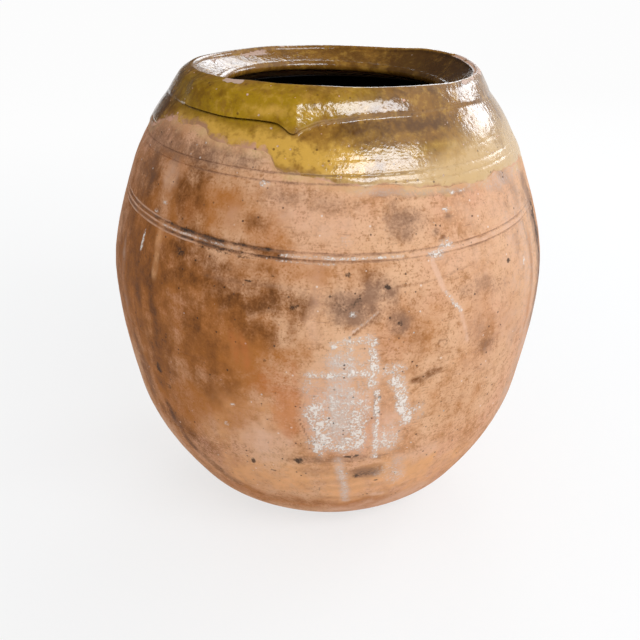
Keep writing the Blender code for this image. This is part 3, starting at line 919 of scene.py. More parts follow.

# %% Smudges in the middle and on the right, with painted shade and painted light
SMUDGES_SHADE_AND_LIGHT = {
    "wash": (
        (0.40, 50, 46, (18, 262)), (0.30, 56, 36, (46, 236)), (0.35, 46, 34, (34, 180)),
        (0.25, 44, 26, (24, 106), (42, 84)), (0.25, 56, 22, (48, 300)), (0.45, 30, 14, (8, 316)),
        (0.60, 6, 30, (63, 300), (61, 230)), (0.35, 30, 60, (38, 250)), (0.35, 40, 60, (52, 262)),
    ),
    "smoke_and_shade": (
        (1.00, 26, 17, (5.5, 287)), (0.95, 18, 14, (11, 296)), (0.75, 24, 16, (17.5, 350)),
        (0.45, 24, 11, (35, 289), (44, 285)), (0.80, 13, 13, (15.8, 271)),
        # The first stroke on the next line is painted shade down the right edge, where the wall
        # turns away.
        (1.00, 15, 36, (71, 335), (72, 290), (69.5, 232)), (0.55, 3, 20, (61, 318), (63, 270)),
        (0.60, 10, 12, (55, 374), (60, 352)), (0.50, 12, 10, (66, 345)), (0.50, 8, 9, (53.5, 348)),
        (0.35, 10, 16, (55, 312)), (0.60, 5, 3, (30.5, 351)), (0.75, 5, 4, (26, 340)),
        (0.55, 24, 6, (-4, 130), (9, 133)), (0.75, 13, 7, (8.5, 113), (12, 110)),
        (0.50, 20, 4, (14, 374), (36, 368)), (0.35, 18, 16, (36, 250), (40, 234)),
    ),
    "film": (
        (0.50, 30, 12, (45, 372), (62, 366)), (0.45, 14, 4, (8, 376), (34, 370)),
        (0.50, 10, 12, (19, 122), (20, 98)), (0.40, 60, 130, (64, 300)),
        (0.45, 30, 50, (66, 210), (62, 140)),
    ),
    "oil": (
        (0.40, 4, 24, (66, 330), (66, 262)), (0.60, 10, 9, (15.6, 270)),
        (0.65, 9, 5, (21, 213), (25, 219)), (0.30, 18, 13, (25, 108), (31, 92)),
        (0.50, 24, 8, (-4, 116), (7, 112)), (0.40, 14, 9, (17, 74), (20, 66)),
        (0.55, 22, 7, (-2, 98), (12, 104)), (0.50, 26, 5, (-4, 87), (14, 90)),
        (0.45, 22, 4, (-1, 71), (10, 69)), (0.30, 12, 34, (20, 256)), (0.60, 14, 12, (12.5, 287)),
        (0.45, 22, 14, (8, 290)), (0.25, 10, 30, (27, 232)), (0.50, 18, 12, (42, 229)),
        (0.35, 10, 18, (54, 226)), (0.35, 20, 8, (34, 182)), (0.55, 2.4, 1.6, (6, 301), (22, 302)),
        (0.40, 2.0, 1.4, (22, 302), (36, 309)), (0.25, 10, 12, (19, 287), (21, 276)),
        (0.55, 14, 8, (9.5, 285), (14, 281)), (0.55, 14, 9, (8, 312), (12, 306)),
        (0.70, 4, 2.4, (28, 335)),
        (0.65, 1.4, 1.4, (25.5, 245.5), (26, 248.4), (26.8, 249.3), (27.7, 248.2), (28, 245.5),
         (27.4, 242.5)),
        (1.00, 14, 8, (8.5, 113), (12, 115)),
    ),
    "soot_and_shade": (
        # The first stroke on the next line is painted shade down the right edge as well.
        (0.52, 12, 34, (72.5, 318), (72.5, 268)), (0.35, 20, 12, (5, 289)),
        (0.72, 3.0, 2.6, (13, 302)), (0.90, 2.8, 2.4, (4, 313.5)), (0.70, 2.0, 2.0, (0, 296)),
        (0.80, 3.6, 2.2, (49.3, 300)), (0.80, 2.0, 2.0, (4.5, 261)), (0.55, 4.0, 4.0, (15.8, 270)),
        (0.60, 3.4, 2.2, (13, 340)), (0.50, 4.0, 2.0, (22.5, 216)), (0.90, 5.0, 4.0, (-7.7, 129)),
        (0.42, 10.0, 6.0, (8, 110), (12, 113)), (0.50, 2.6, 2.0, (13.5, 97)),
        (0.75, 2.6, 4.0, (-20.7, 121)), (0.75, 4.0, 2.2, (-15.5, 111)),
        (0.75, 2.4, 2.4, (11.6, 201)), (0.65, 2.0, 2.0, (11.8, 186)), (0.60, 2.0, 2.0, (12, 160)),
        (0.60, 5.0, 2.4, (5, 135), (7, 136)),
    ),
    "blush": (
        (0.45, 90, 130, (56, 285)), (0.70, 9, 5, (16, 71)), (0.60, 22, 30, (14, 165)),
        # The last two strokes on the next line are painted light, thrown up by the floor.
        (0.40, 14, 14, (12, 222)), (0.60, 40, 16, (8, 40), (34, 56)), (0.45, 30, 14, (26, 128)),
        (0.40, 40, 20, (38, 350), (60, 352)), (0.40, 30, 14, (32, 315), (46, 318)),
    ),
    "warm": (
        # The first stroke on the next line is painted light along the lower front too.
        (0.65, 70, 36, (30, 92), (-18, 96)), (0.35, 50, 34, (-26, 150), (-18, 180)),
    ),
}
print(len(strokes(SMUDGES_SHADE_AND_LIGHT)), "smudges")

# %% Dirt in the cut lines
# Each stroke: strength, half width, half height, rise above the band, first and last turn.
BELLY_DIRT = {
    "oil": (
        (1.00, 4.0, 2.4, 3.4, -50, -14), (0.90, 4.0, 2.0, -2.6, -44, -4),
        (0.60, 6.0, 6.0, 1.0, -48, -12),
    ),
    "soot_and_shade": (
        (0.42, 4.0, 2.0, 3.4, -44, -14), (0.42, 4.0, 1.6, -2.6, -42, -8),
        (0.40, 4.0, 1.6, -5.6, -34, -18),
    ),
    "smoke_and_shade": (
        (0.60, 3.0, 1.6, 3, -75, 12), (0.60, 3.0, 1.6, -2.6, -75, 12), (0.60, 3.0, 1.0, 3, 12, 75),
        (0.60, 3.0, 1.0, -2.6, 12, 75), (0.55, 3.0, 1.3, 3, 75, 180), (0.55, 3.0, 1.3, 3, 180, 287),
        (0.55, 3.0, 1.3, -2.6, 75, 180), (0.55, 3.0, 1.3, -2.6, 180, 287),
    ),
    "lime_and_glint": (
        (0.58, 3.0, 1.8, 0.2, -11, 17), (0.50, 3.0, 1.6, 0.4, -46, -22),
        (0.50, 2.4, 1.4, -4.6, -12, 1),
    ),
    "blush": (
        (0.80, 3.0, 1.0, 0.2, -76, -34), (0.70, 3.0, 1.0, -4.2, -74, -34),
        (0.70, 3.0, 1.0, 4.6, -74, -44), (0.60, 4.0, 2.6, 0.2, 20, 70),
        (0.40, 3.0, 1.0, 0.2, -104, -72), (0.35, 3.0, 1.0, -4.2, -98, -70),
    ),
}
SHOULDER_DIRT = {
    "smoke_and_shade": (
        (0.70, 3.0, 1.2, 3.3, -72, 75), (0.60, 3.0, 1.2, -3.3, -40, 75),
        (0.55, 3.0, 1.3, 3.3, 75, 180), (0.55, 3.0, 1.3, 3.3, 180, 287),
    ),
}


def along_band(band, rise_mm, first, last):
    """Points of a stroke that follows a band of cut lines, within half a turn of its start."""
    turns = np.linspace(first, last, max(2, int(abs(last - first) / 6)))
    radians = np.radians(turns)
    heights = band_height(band, np.cos(radians), np.sin(radians)) * 1000 + rise_mm
    return [(float(t), float(h)) for t, h in zip(turns, heights)]


line_dirt = []
for band, dirt in ((BELLY_BAND, BELLY_DIRT), (SHOULDER_BAND, SHOULDER_DIRT)):
    for kind, strength, wide, tall, *course in strokes(dirt):
        line_dirt.append((kind, strength, wide, tall, *along_band(band, *course)))
print(len(line_dirt), "strokes along the cut lines")

# %% Made-up stains on the back
KINDS = ("wash", "oil", "soot_and_shade", "smoke_and_shade", "rust", "blush", "film", "lime_and_glint", "warm")
KIND_SHARES = (0.20, 0.22, 0.14, 0.14, 0.06, 0.09, 0.02, 0.10, 0.03)
KIND_SIZES, OTHER_SIZE = {"soot_and_shade": 3.0, "lime_and_glint": 6.0, "wash": 46.0}, 16.0
RUNNING_KINDS = ("oil", "lime_and_glint", "rust")
BACK_STAINS = 90
rng = np.random.default_rng(12)


def back_stains(count):
    """Stains for the side that no picture shows, of the same kinds and sizes as on the front."""
    found = []
    for _ in range(count):
        kind = KINDS[rng.choice(len(KINDS), p=KIND_SHARES)]
        turn, height = rng.uniform(84, 276), rng.uniform(60, 370)
        size = KIND_SIZES.get(kind, OTHER_SIZE) * rng.uniform(0.5, 1.8)
        run = rng.uniform(0, 60) if kind in RUNNING_KINDS else 0.0
        path = ((turn, height), (turn + rng.uniform(-2, 2), max(40.0, height - run)))
        found.append((kind, rng.uniform(0.4, 0.8), size, size, *path))
    return found


STAINS = strokes(LEFT_SOAK_AND_SHEEN, LIME_RUNS_AND_GLINTS, SMUDGES_SHADE_AND_LIGHT) + line_dirt + back_stains(BACK_STAINS)
print(len(STAINS), "strokes in all")

# %% [markdown]
# ## Painting on the points
# Vertex paint is a value kept on every point of a mesh, and the walls have points enough for it:
# one every millimetre and a half or so. For each stroke the distance of the points to its path is
# measured in half widths and half heights. A noise that the trees have kept bends that distance,
# so that no stroke has the even edge of a brush. Where strokes of a kind overlap, the stronger one
# holds.

# %% Values on the points of a piece
MM = 0.001


def read_vectors(layer, field):
    """The vectors of a mesh layer, one row for each point."""
    found = np.empty(len(layer) * 3, np.float32)
    layer.foreach_get(field, found)
    return found.reshape(-1, 3).astype(float)


def points_of(piece):
    return read_vectors(piece.data.vertices, "co")


def blot_of(piece):
    """The blotting noise that a tree has kept on the points of a piece."""
    return read_vectors(piece.data.attributes["blot"].data, "vector")


def turn_of(place):
    return np.arctan2(place[:, 0], -place[:, 1])


def move_points(piece, place):
    piece.data.vertices.foreach_set("co", place.astype(np.float32).ravel())


def kept_shade(piece, kind):
    """A value kept on each point of a piece, or nought where there is none yet."""
    found = np.zeros(len(piece.data.vertices), np.float32)
    if kind in piece.data.attributes:
        piece.data.attributes[kind].data.foreach_get("value", found)
    return found.astype(float)


def keep_shade(piece, kind, shade):
    """Keeps a value on each point of a piece under a name."""
    known = piece.data.attributes
    kept = known[kind] if kind in known else known.new(kind, "FLOAT", "POINT")
    kept.data.foreach_set("value", np.asarray(shade, np.float32))


print("points on the belly course:", len(points_of(pieces["belly_course"])))

# %% Paint the strokes
WANDER, SOFT_FROM, SOFT_TO = 1.5, 0.1, 1.6
FAR_OFF, STROKE_REACH = 9.0, 3


def stroke_shade(turn, height, radius, blot, wide, tall, path):
    """How far each point lies within a stroke: 1 at its middle, 0 outside."""
    first, base = path[0]
    away = (turn - math.radians(first) + math.pi) % math.tau - math.pi
    across = away * radius / wide + (blot[:, 0] - 0.5) * WANDER
    up = (height - base * MM) / tall + (blot[:, 1] - 0.5) * WANDER
    marks = [(math.radians(t - first), (h - base) * MM / tall) for t, h in path]
    nearest = np.full(len(turn), FAR_OFF)
    for (t0, h0), (t1, h1) in zip(marks, marks[1:] or marks):
        x0, x1 = t0 * radius / wide, t1 * radius / wide
        run = (across - x0) * (x1 - x0) + (up - h0) * (h1 - h0)
        share = np.clip(run / np.maximum((x1 - x0) ** 2 + (h1 - h0) ** 2, 1e-9), 0, 1)
        off = (across - x0 - share * (x1 - x0), up - h0 - share * (h1 - h0))
        nearest = np.minimum(nearest, np.hypot(*off))
    return 1 - rise(nearest, SOFT_FROM, SOFT_TO)


def paint(piece, stains, kinds, where=True):
    """Keeps the strongest stroke of each kind on every point of a piece, under the kind's name."""
    place, blot = points_of(piece), blot_of(piece)
    turn, radius = turn_of(place), np.hypot(place[:, 0], place[:, 1])
    coats = {kind: kept_shade(piece, kind) for kind in kinds}
    for kind, strength, wide, tall, *path in stains:
        reach = STROKE_REACH * tall * MM
        heights = [h * MM for t, h in path]
        near = (place[:, 2] > min(heights) - reach) & (place[:, 2] < max(heights) + reach)
        near = np.flatnonzero(near & where)
        if len(near):
            spot = (turn[near], place[near, 2], radius[near], blot[near])
            shade = stroke_shade(*spot, wide * MM, tall * MM, path)
            coats[kind][near] = np.maximum(coats[kind][near], strength * shade)
    for kind, shade in coats.items():
        keep_shade(piece, kind, shade)
    print(piece.name, {kind: round(float(coat.max()), 2) for kind, coat in coats.items()})


WALL_PIECES = ("lower_course", "belly_course", "upper_course", "shoulder_course")
CLAY_PIECES = ("foot_slab", *WALL_PIECES, "folded_collar")
for name in CLAY_PIECES:
    paint(pieces[name], STAINS, KINDS)

# %% [markdown]
# ## Lime stands proud
# Lime is a crust. Where a lime stroke is strong the points of the wall are moved out by up to a
# third of a millimetre, broken up by the blotting noise, so that the crust has a real edge in
# raking light. The two painted glints are kept with the lime, and they are raised with it too.

# %% Lime crust
CRUST = 0.00035


def raise_crust(piece):
    """Moves the points of a wall outwards where lime lies on them."""
    place = points_of(piece)
    lime_and_glint = kept_shade(piece, "lime_and_glint") * kept_shade(piece, "skin")
    height = CRUST * rise(lime_and_glint + (blot_of(piece)[:, 2] - 0.5) * 0.8, 0.3, 0.7) * (lime_and_glint > 0.05)
    radius = np.maximum(np.hypot(place[:, 0], place[:, 1]), MM)
    place[:, :2] *= (1 + height / radius)[:, None]
    move_points(piece, place)
    return int((height > CRUST / 2).sum())


for name in WALL_PIECES:
    print(name, raise_crust(pieces[name]), "points raised by lime")

# %% [markdown]
# ## Thick and thin in the glaze
# A lead glaze takes its colour from its depth. It is olive where it lies over a reduced patch,
# brown where it has pooled in a corner, gold where it is thin and ochre at its edge, and it is
# gone altogether where the lip has been knocked. Some of its colour is painted light and shade:
# the pale edge runs far up on the right as a painted reflection, the lip's crest is pale as wear
# and as a painted highlight, and the crevice and the right of the throat are painted dark as
# shade. The same strokes as for the stains say where. The edge and the lip are found from the
# shapes instead: the edge by how far a point lies above it, the lip by its row.

# %% Paint the glaze
GLAZE_KINDS = ("olive", "gold", "umber", "bare")
GLAZE_STROKES = {
    "olive": (
        (0.95, 40, 17, (-54, 437), (-40, 437), (-14, 436)), (0.50, 34, 12, (-12, 437), (8, 443)),
        (0.40, 26, 7, (6, 402), (32, 404)), (0.50, 30, 6, (-44, 420), (-24, 418)),
        (0.55, 40, 14, (150, 420), (230, 425)),
    ),
    "gold": (
        (0.90, 14, 9, (-54, 416), (-30, 411), (-12, 403), (3, 396)),
        (1.00, 18, 12, (-20, 409), (-5, 401), (6, 394)), (0.50, 14, 6, (-24, 434), (-6, 434)),
        (0.55, 30, 12, (100, 395), (150, 400)),
    ),
    "umber": (
        (0.75, 8, 5, (-37, 443)), (0.60, 8, 6, (-30, 437)), (0.50, 6, 4, (-50, 430)),
        (0.60, 9, 3, (-24, 427), (-15, 425)), (0.60, 22, 7, (6, 421), (34, 422)),
        (0.35, 16, 8, (10, 410), (20, 412)), (0.50, 30, 4, (18, 444), (60, 443)),
        # The two strokes on the next line darken the glaze towards its left edge.
        (0.85, 22, 18, (-88, 426), (-65, 430)), (0.65, 22, 20, (-72, 430), (-47, 440)),
        (0.60, 26, 8, (80, 430), (250, 428)),
        (0.80, 3, 0.9, *along_band(SHOULDER_BAND, 3.3, -6, 76)),
        (0.70, 3, 0.9, *along_band(SHOULDER_BAND, -3.3, 0, 76)),
    ),
}
LIP_WEAR = {
    "bare": (
        (0.95, 5, 1.8, (-40, 451), (-33, 451.5)), (0.80, 6, 2.4, (56, 445), (74, 446)),
        (0.90, 6, 3.0, (74, 446), (90, 447), (112, 450)), (0.60, 3, 4, (31, 446), (32, 440)),
        (0.60, 7, 3, (195, 449), (204, 449)),
    ),
}
THROAT_WEAR_AND_SHADE = {
    "bare": (
        (0.90, 10, 3.6, (-150, 445), (-135, 445)), (0.60, 3, 2, (-118, 446), (-108, 445)),
    ),
    # The umber strokes below are painted shade down the right of the throat.
    "umber": (
        (1.00, 60, 22, (70, 440), (125, 442)), (0.35, 46, 18, (125, 442), (165, 442)),
    ),
}
coat = pieces["mouth_glaze_coat"]
rows_of_coat = np.arange(len(coat.data.vertices)) // STEPS
crest = lip_rows + len(rim) // 2
outside = rows_of_coat <= crest + 1
inside_mouth = ~outside & (rows_of_coat < len(skin))
paint(coat, strokes(GLAZE_STROKES, LIP_WEAR), GLAZE_KINDS, outside)
paint(coat, strokes(THROAT_WEAR_AND_SHADE), GLAZE_KINDS, inside_mouth)

# %% Edge and throat of the glaze
# How far the thin edge reaches up, in metres, how strong it is, and how dark the throat is painted
# as shade. Far up on the right, the thin edge is also a painted reflection.
FRINGE = (
    (-180, 0.012), (-90, 0.012), (-40, 0.008), (-10, 0.014), (12, 0.024), (32, 0.050), (48, 0.075),
    (75, 0.075), (100, 0.022), (140, 0.014),
)
FRINGE_STRENGTH = (
    (-180, 0.6), (-60, 0.25), (-20, 0.3), (0, 0.6), (15, 0.9), (60, 1.0), (120, 0.8),
)
THROAT_DARK = (
    (-180, 0.0), (40, 0.0), (70, 0.5), (110, 0.5), (140, 0.25), (160, 0.05),
)
THIN_WANDER, RAGGED_WANDER = 0.010, 0.016
RAGGED_REACH, RAGGED_LEFT = 0.006, 0.007
place, blot = points_of(coat), blot_of(coat)
turn = turn_of(place)
above_edge = place[:, 2] - glaze_edge(turn)
fold_row = rows_of_coat - len(wall)
fringe, fringe_strength, throat_dark = map(ring_curve, (FRINGE, FRINGE_STRENGTH, THROAT_DARK))

thin_and_sheen = 1 - rise(above_edge + (blot[:, 2] - 0.5) * THIN_WANDER, -0.004, fringe(turn))
keep_shade(coat, "thin_and_sheen", thin_and_sheen * (fold_row < 0) * fringe_strength(turn))
# The fold in the crevice and the right of the throat are painted dark, as shade.
in_fold = crevice(turn) * ((fold_row >= 3) & (fold_row <= 4))
keep_shade(coat, "painted_shade", np.maximum(in_fold, throat_dark(turn) * inside_mouth))
worn = RAGGED_REACH + RAGGED_LEFT * rise(-np.degrees(turn), 10, 30)
ragged = 1 - rise(above_edge + (blot[:, 0] - 0.5) * RAGGED_WANDER, -0.002, worn)
keep_shade(coat, "ragged", ragged * (fold_row < 0))
print("ragged on", int((kept_shade(coat, "ragged") > 0.5).sum()), "points")

# %% Worn and chipped lip, pale along its crest as wear and as a painted highlight
CHIP, LIP_SPREAD = 0.0012, 1.6
lip_row = np.exp(-(((rows_of_coat - crest) / LIP_SPREAD) ** 2))
# The pale band along the crest is wear and a painted highlight, kept with the bare spots.
rubbed_and_highlight = lip_row * (0.15 + 0.5 * rise(blot[:, 1], 0.45, 0.7))
bare = np.maximum(kept_shade(coat, "bare"), rubbed_and_highlight)
keep_shade(coat, "bare", bare)
chipped = rise(bare + (blot[:, 0] - 0.5) * 0.5, 0.55, 0.85) * rise(lip_row, 0.05, 0.6)
place[:, 2] -= CHIP * chipped
move_points(coat, place)
print("chipped on", int((chipped > 0.5).sum()), "points")

# %% Ochre margin on the shoulder
# Just below its edge the glaze has tinged the clay. The other pieces keep a margin of nought.
MARGIN, MARGIN_WANDER = 0.009, 0.014
for name in CLAY_PIECES:
    keep_shade(pieces[name], "margin", kept_shade(pieces[name], "margin"))
shoulder = pieces["shoulder_course"]
place, blot = points_of(shoulder), blot_of(shoulder)
below_edge = glaze_edge(turn_of(place)) - place[:, 2]
margin = 1 - rise(below_edge + (blot[:, 0] - 0.5) * MARGIN_WANDER, 0.0, MARGIN)
keep_shade(shoulder, "margin", margin)
print("margin on", int((margin > 0.5).sum()), "points")

# %% [markdown]
# ## The clay's finish
# Fired earthenware is dull and uneven: peach where the flame was clean, rose and honey elsewhere,
# with fine rings from the turning and a grain of sand. Each stain then covers it in turn, oil
# early, lime last, and some of these layers hold painted light and shade too. A stroke's soft edge
# is broken up by noise before it is used, as a stain creeps along the grain and does not fade
# like paint from an airbrush.

# %% Plain colours
# As red, green and blue on a screen, from 0 to 255.
PLAIN_COLOURS = {
    "peach": (226, 178, 140),
    "honey": (212, 156, 112),
    "rose": (217, 160, 128),
    "tan": (176, 124, 82),
    "wash": (178, 108, 44),
    "oil": (120, 68, 22),
    "dark_oil": (70, 38, 16),
    "soot_and_shade": (52, 42, 36),
    "smoke_and_shade": (142, 106, 84),
    "rust": (196, 116, 62),
    "blush": (232, 188, 160),
    "warm": (246, 184, 130),
    "film": (212, 186, 170),
    "lime_and_glint": (244, 234, 224),
    "ochre": (214, 176, 122),
    "olive": (172, 132, 16),
    "gold": (221, 171, 74),
    "amber": (146, 100, 36),
    "umber": (92, 56, 18),
    "toffee": (128, 88, 8),
    "bare": (212, 178, 160),
    # Painted shade for the crevice and the throat.
    "painted_shade": (38, 24, 12),
    # Near black, for the inner glaze painted as shade.
    "night": (16, 15, 15),
}


def colour(name):
    """A named colour, turned from screen values into the linear light that shaders work in."""
    shares = [value / 255 for value in PLAIN_COLOURS[name]]
    return (*[s / 12.92 if s <= 0.04045 else ((s + 0.055) / 1.055) ** 2.4 for s in shares], 1.0)


print(len(PLAIN_COLOURS), "colours")


# %% Shader helpers
def start_shader(material):
    """Empties a material and returns a wire on its tree with the object's own coordinates."""
    material.use_nodes = True
    material.node_tree.nodes.clear()
    return Wire(material.node_tree).node("ShaderNodeTexCoord", out=3)


def lead_out(surface, kind="ShaderNodeOutputMaterial"):
    """Leads a finished surface to the end of its tree."""
    surface.tree.links.new(surface.socket, surface.tree.nodes.new(kind).inputs[0])


def end_shader(place, sockets, bump_height, bump_depth):
    """Principled surface with a fine bump, led to the output."""
    bump = {"Strength": 1.0, "Distance": bump_depth, "Height": bump_height}
    sockets = {**sockets, "Normal": place.node("ShaderNodeBump", bump)}
    lead_out(place.node("ShaderNodeBsdfPrincipled", sockets))


def kept(place, label):
    """A value that was kept on the mesh."""
    return place.node("ShaderNodeAttribute", out=2, attribute_name=label)


def stain(place, label, unevenness, low=0.1, high=0.9):
    """A painted value, broken up by noise in proportion to itself."""
    return (kept(place, label) * (1 + unevenness)).between(low, high)


def cover(surface, *layers):
    """Covers a surface in turn with layers of (mask, strength, colour)."""
    for mask, strength, over in layers:
        over = colour(over) if isinstance(over, str) else over
        surface = (mask * strength).mix(surface, over)
    return surface


def speckle(place, scale):
    """Distance to the nearest of many scattered spots, and three random numbers for each spot."""
    sockets = {"Vector": place, "Scale": scale, "Randomness": 1.0}
    spots = place.node("ShaderNodeTexVoronoi", sockets)
    return spots, Wire(place.tree, spots.socket.node.outputs[1]).axes()


print("shader helpers ready")

# %% Bare clay
place = start_shader(clay)
cloud, mottle = place.noise(9.0, 3.0), place.noise(34.0, 4.0, 0.6)
grain, fine = place.noise(150.0, 3.0, 0.6), place.noise(520.0, 3.0, 0.6)
patch = place.noise(78.0, 5.0, 0.65)
runs = place.stretch(1, 1, 0.14).noise(62.0, 3.0, 0.55)
rings = place.stretch(0.04, 0.04, 1).noise(340.0, 3.0, 0.6)
scratches = place.stretch(0.1, 0.1, 1).noise(640.0, 3.0, 0.6).between(0.58, 0.7)
sand = grain * 0.35 + fine * 0.65
surface = cloud.between(0.35, 0.68).mix(colour("peach"), colour("rose"))
surface = cover(
    surface,
    ((mottle * 0.6 + runs * 0.4).between(0.42, 0.66), 0.8, "honey"),
    ((cloud * 0.5 + mottle * 0.5).between(0.5, 0.68), 0.6, "wash"),
    ((mottle * 0.5 + grain * 0.5).between(0.5, 0.7), 0.5, "tan"),
    ((rings * 0.7 + grain * 0.3).between(0.48, 0.75), 0.4, "tan"),
    (scratches * mottle.between(0.4, 0.6), 0.5, "oil"),
    (sand.between(0.50, 0.64), 0.85, "tan"),
    (1 - sand.between(0.37, 0.48), 0.8, "peach"),
    (patch.between(0.52, 0.72), 0.35, "tan"),
)
print("bare clay takes", len(clay.node_tree.nodes), "nodes")

# %% Stains over the clay
broad = (mottle - 0.5) * 1.4 + (runs - 0.5) * 2.0 + (patch - 0.5) * 2.2 + (fine - 0.5) * 1.0
small = (fine - 0.5) * 2.0 + (grain - 0.5) * 2.2 + (patch - 0.5) * 1.8
dust = (fine - 0.5) * 4.4 + (grain - 0.5) * 2.4 + (patch - 0.5) * 1.4
oil = stain(place, "oil", broad, 0.08, 0.95)
margin = stain(place, "margin", broad * 0.6 + small * 0.4, 0.1, 0.95)
lime_and_glint = stain(place, "lime_and_glint", dust * 1.3, 0.36, 1.12)
haze = stain(place, "lime_and_glint", dust * 0.8, 0.15, 1.0)
# Besides stains, these layers draw the painted light, shade and glints in the strokes above.
surface = cover(
    surface,
    (stain(place, "wash", broad * 0.4, 0.05), 0.92, "wash"),
    (stain(place, "rust", broad), 0.75, "rust"),
    (oil, 0.88, "oil"),
    (stain(place, "oil", broad * 1.2, 0.7, 1.5), 0.75, "dark_oil"),
    (stain(place, "warm", broad), 0.7, "warm"),
    (stain(place, "blush", broad), 0.7, "blush"),
    (margin, 0.7, mottle.between(0.4, 0.6).mix(colour("ochre"), colour("honey"))),
    (stain(place, "smoke_and_shade", broad * 0.6 + small * 0.25, 0.08, 0.95), 0.8, "smoke_and_shade"),
    (stain(place, "film", dust * 0.5 + broad * 0.4, 0.12, 1.0), 0.85, "film"),
    (stain(place, "soot_and_shade", small * 1.2, 0.25, 0.7), 0.85, "soot_and_shade"),
)
surface = (haze * 0.5).most(lime_and_glint * 0.9).mix(surface, colour("lime_and_glint"))
print("with its stains it takes", len(clay.node_tree.nodes), "nodes")

# %% Grit, grain and sheen of the clay
SPECK_SCALE, SPECK_SIZE, CLAY_BUMP = 240.0, 0.14, 0.0009
distance, chance = speckle(place, SPECK_SCALE)
dots = 1 - distance.between(SPECK_SIZE, SPECK_SIZE * 2)
specks = dots * chance[0].between(0.87, 0.91) * patch.between(0.42, 0.58)
surface = cover(
    surface,
    (specks, 0.8, "soot_and_shade"),
    (dots * chance[1].between(0.975, 0.985), 0.5, "lime_and_glint"),
)
dull = 0.82 - oil * 0.22 - margin * 0.2 + lime_and_glint * 0.1
skin_height = grain * 0.5 + fine * 0.25 + rings * 0.35 + lime_and_glint * 0.4 - specks * 0.6
finish = {"Base Color": surface, "Roughness": dull, "Specular IOR Level": 0.2}
end_shader(place, finish, skin_height, CLAY_BUMP)
print("clay shader has", len(clay.node_tree.nodes), "nodes")

# %% [markdown]
# ## The glaze's finish
# The glaze is a glass: one smooth surface that mirrors the windows, over a colour that changes
# with its depth. A real layer of coloured glass would have to be traced through, and at a
# millimetre it would look much the same, so the colour is put on the surface. The surface is not
# flat but has the fine ripple of orange peel, which breaks the mirrored windows up into sparkles.

# %% Depths of the glaze
place = start_shader(glaze)
cloud, mottle = place.noise(17.0, 3.0), place.noise(60.0, 3.0, 0.55)
grain, fine = place.noise(240.0, 2.0), place.noise(640.0, 2.0)
spots = place.noise(125.0, 4.0, 0.65)
broken = (mottle - 0.5) * 2.0 + (cloud - 0.5) * 1.4 + (grain - 0.5) * 1.0
olive = stain(place, "olive", broken * 0.7, high=0.8)
umber = stain(place, "umber", broken * 1.2)
thin_and_sheen = stain(place, "thin_and_sheen", broken * 0.6, high=0.95)
bare = stain(place, "bare", broken, 0.5, 0.75)
ragged = stain(place, "ragged", (spots - 0.5) * 3.0 + broken * 0.5, 0.15, 0.95)
pooled = olive.mix(colour("umber"), colour("toffee"))
print("kept values:", ", ".join(sorted(GLAZE_KINDS + ("thin_and_sheen", "ragged", "painted_shade"))))

# %% Glaze shader
PIT_SCALE, GLAZE_BUMP = 190.0, 0.0008
pits, chance = speckle(place, PIT_SCALE)
pinholes = (1 - pits.between(0.1, 0.24)) * chance[0].between(0.93, 0.96)
burnt = (1 - pits.between(0.13, 0.28)) * chance[1].between(0.88, 0.92)
surface = cover(
    colour("amber"),
    (mottle.between(0.42, 0.66), 0.55, "umber"),
    (cloud.between(0.45, 0.65), 0.25, "gold"),
    (olive, 1.0, "olive"),
    ((mottle * 0.6 + grain * 0.4).between(0.5, 0.66), 0.5, "amber"),
    (stain(place, "gold", broken), 0.9, "gold"),
    (umber, 0.8, pooled),
    (spots.between(0.52, 0.7), 0.45, pooled),
    (1 - spots.between(0.34, 0.5), 0.3 - umber * 0.25, "gold"),
    # Ochre where the glaze is thin; far up on the right this is also a painted reflection.
    (thin_and_sheen, 0.9, "ochre"),
    (ragged, 1.0, cloud.between(0.4, 0.6).mix(colour("rose"), colour("tan"))),
    (burnt, 0.7, "umber"),
    (pinholes, 0.7, "bare"),
    # Pale where the glaze is worn off; along the lip's crest this is also a painted highlight.
    (bare, 0.85, "bare"),
    # Painted shade in the crevice's fold and down the right of the throat.
    (kept(place, "painted_shade"), 1.0, "painted_shade"),
)
shine = 0.16 + (grain - 0.5) * 0.1 + thin_and_sheen * 0.14 + (bare + ragged).least(1.0) * 0.45
skin_height = mottle + grain * 0.22 + fine * 0.10 - pinholes * 0.5 - bare * 0.6
end_shader(place, {"Base Color": surface, "Roughness": shine, "IOR": 1.7}, skin_height, GLAZE_BUMP)
print("glaze shader has", len(glaze.node_tree.nodes), "nodes")

# %% [markdown]
# ## The glaze in the dark
# Down in the jar only the gloss of the glaze can be told, so its finish is short: painted shade,
# nearly black, a trace of brown in patches, and a ripple that breaks up what little it mirrors.

# %% Inner glaze, painted dark as shade
INNER_BUMP = 0.0004
place = start_shader(shaded_glaze)
ripple = place.noise(120.0, 2.0)
surface = cover(colour("night"), (place.noise(20.0, 2.0).between(0.4, 0.7), 0.03, "umber"))
end_shader(place, {"Base Color": surface, "Roughness": 0.2 + ripple * 0.1}, ripple, INNER_BUMP)
print("inner glaze shader has", len(shaded_glaze.node_tree.nodes), "nodes")

# %% [markdown]
# ## Grains and blisters
# Some marks are small solid things: blisters that rose in the glaze and stayed, grit in the clay,
# flecks of lime. One Geometry Nodes tree scatters them: points on the faces where a kept value
# says so, a flattened ball on each, turned to the surface, with a random size from a fixed seed.

# %% Tree: scattered grains
GRAIN_INPUTS = {"Density": "Float", "Seed": "Int", "Small": "Float", "Large": "Float"}
GRAIN_INPUTS |= {"Flat": "Float", "Material": "Material"}
scattered, wanted = new_tree("scattered_grains", GRAIN_INPUTS)
host, seed = wanted["Geometry"], wanted["Seed"]


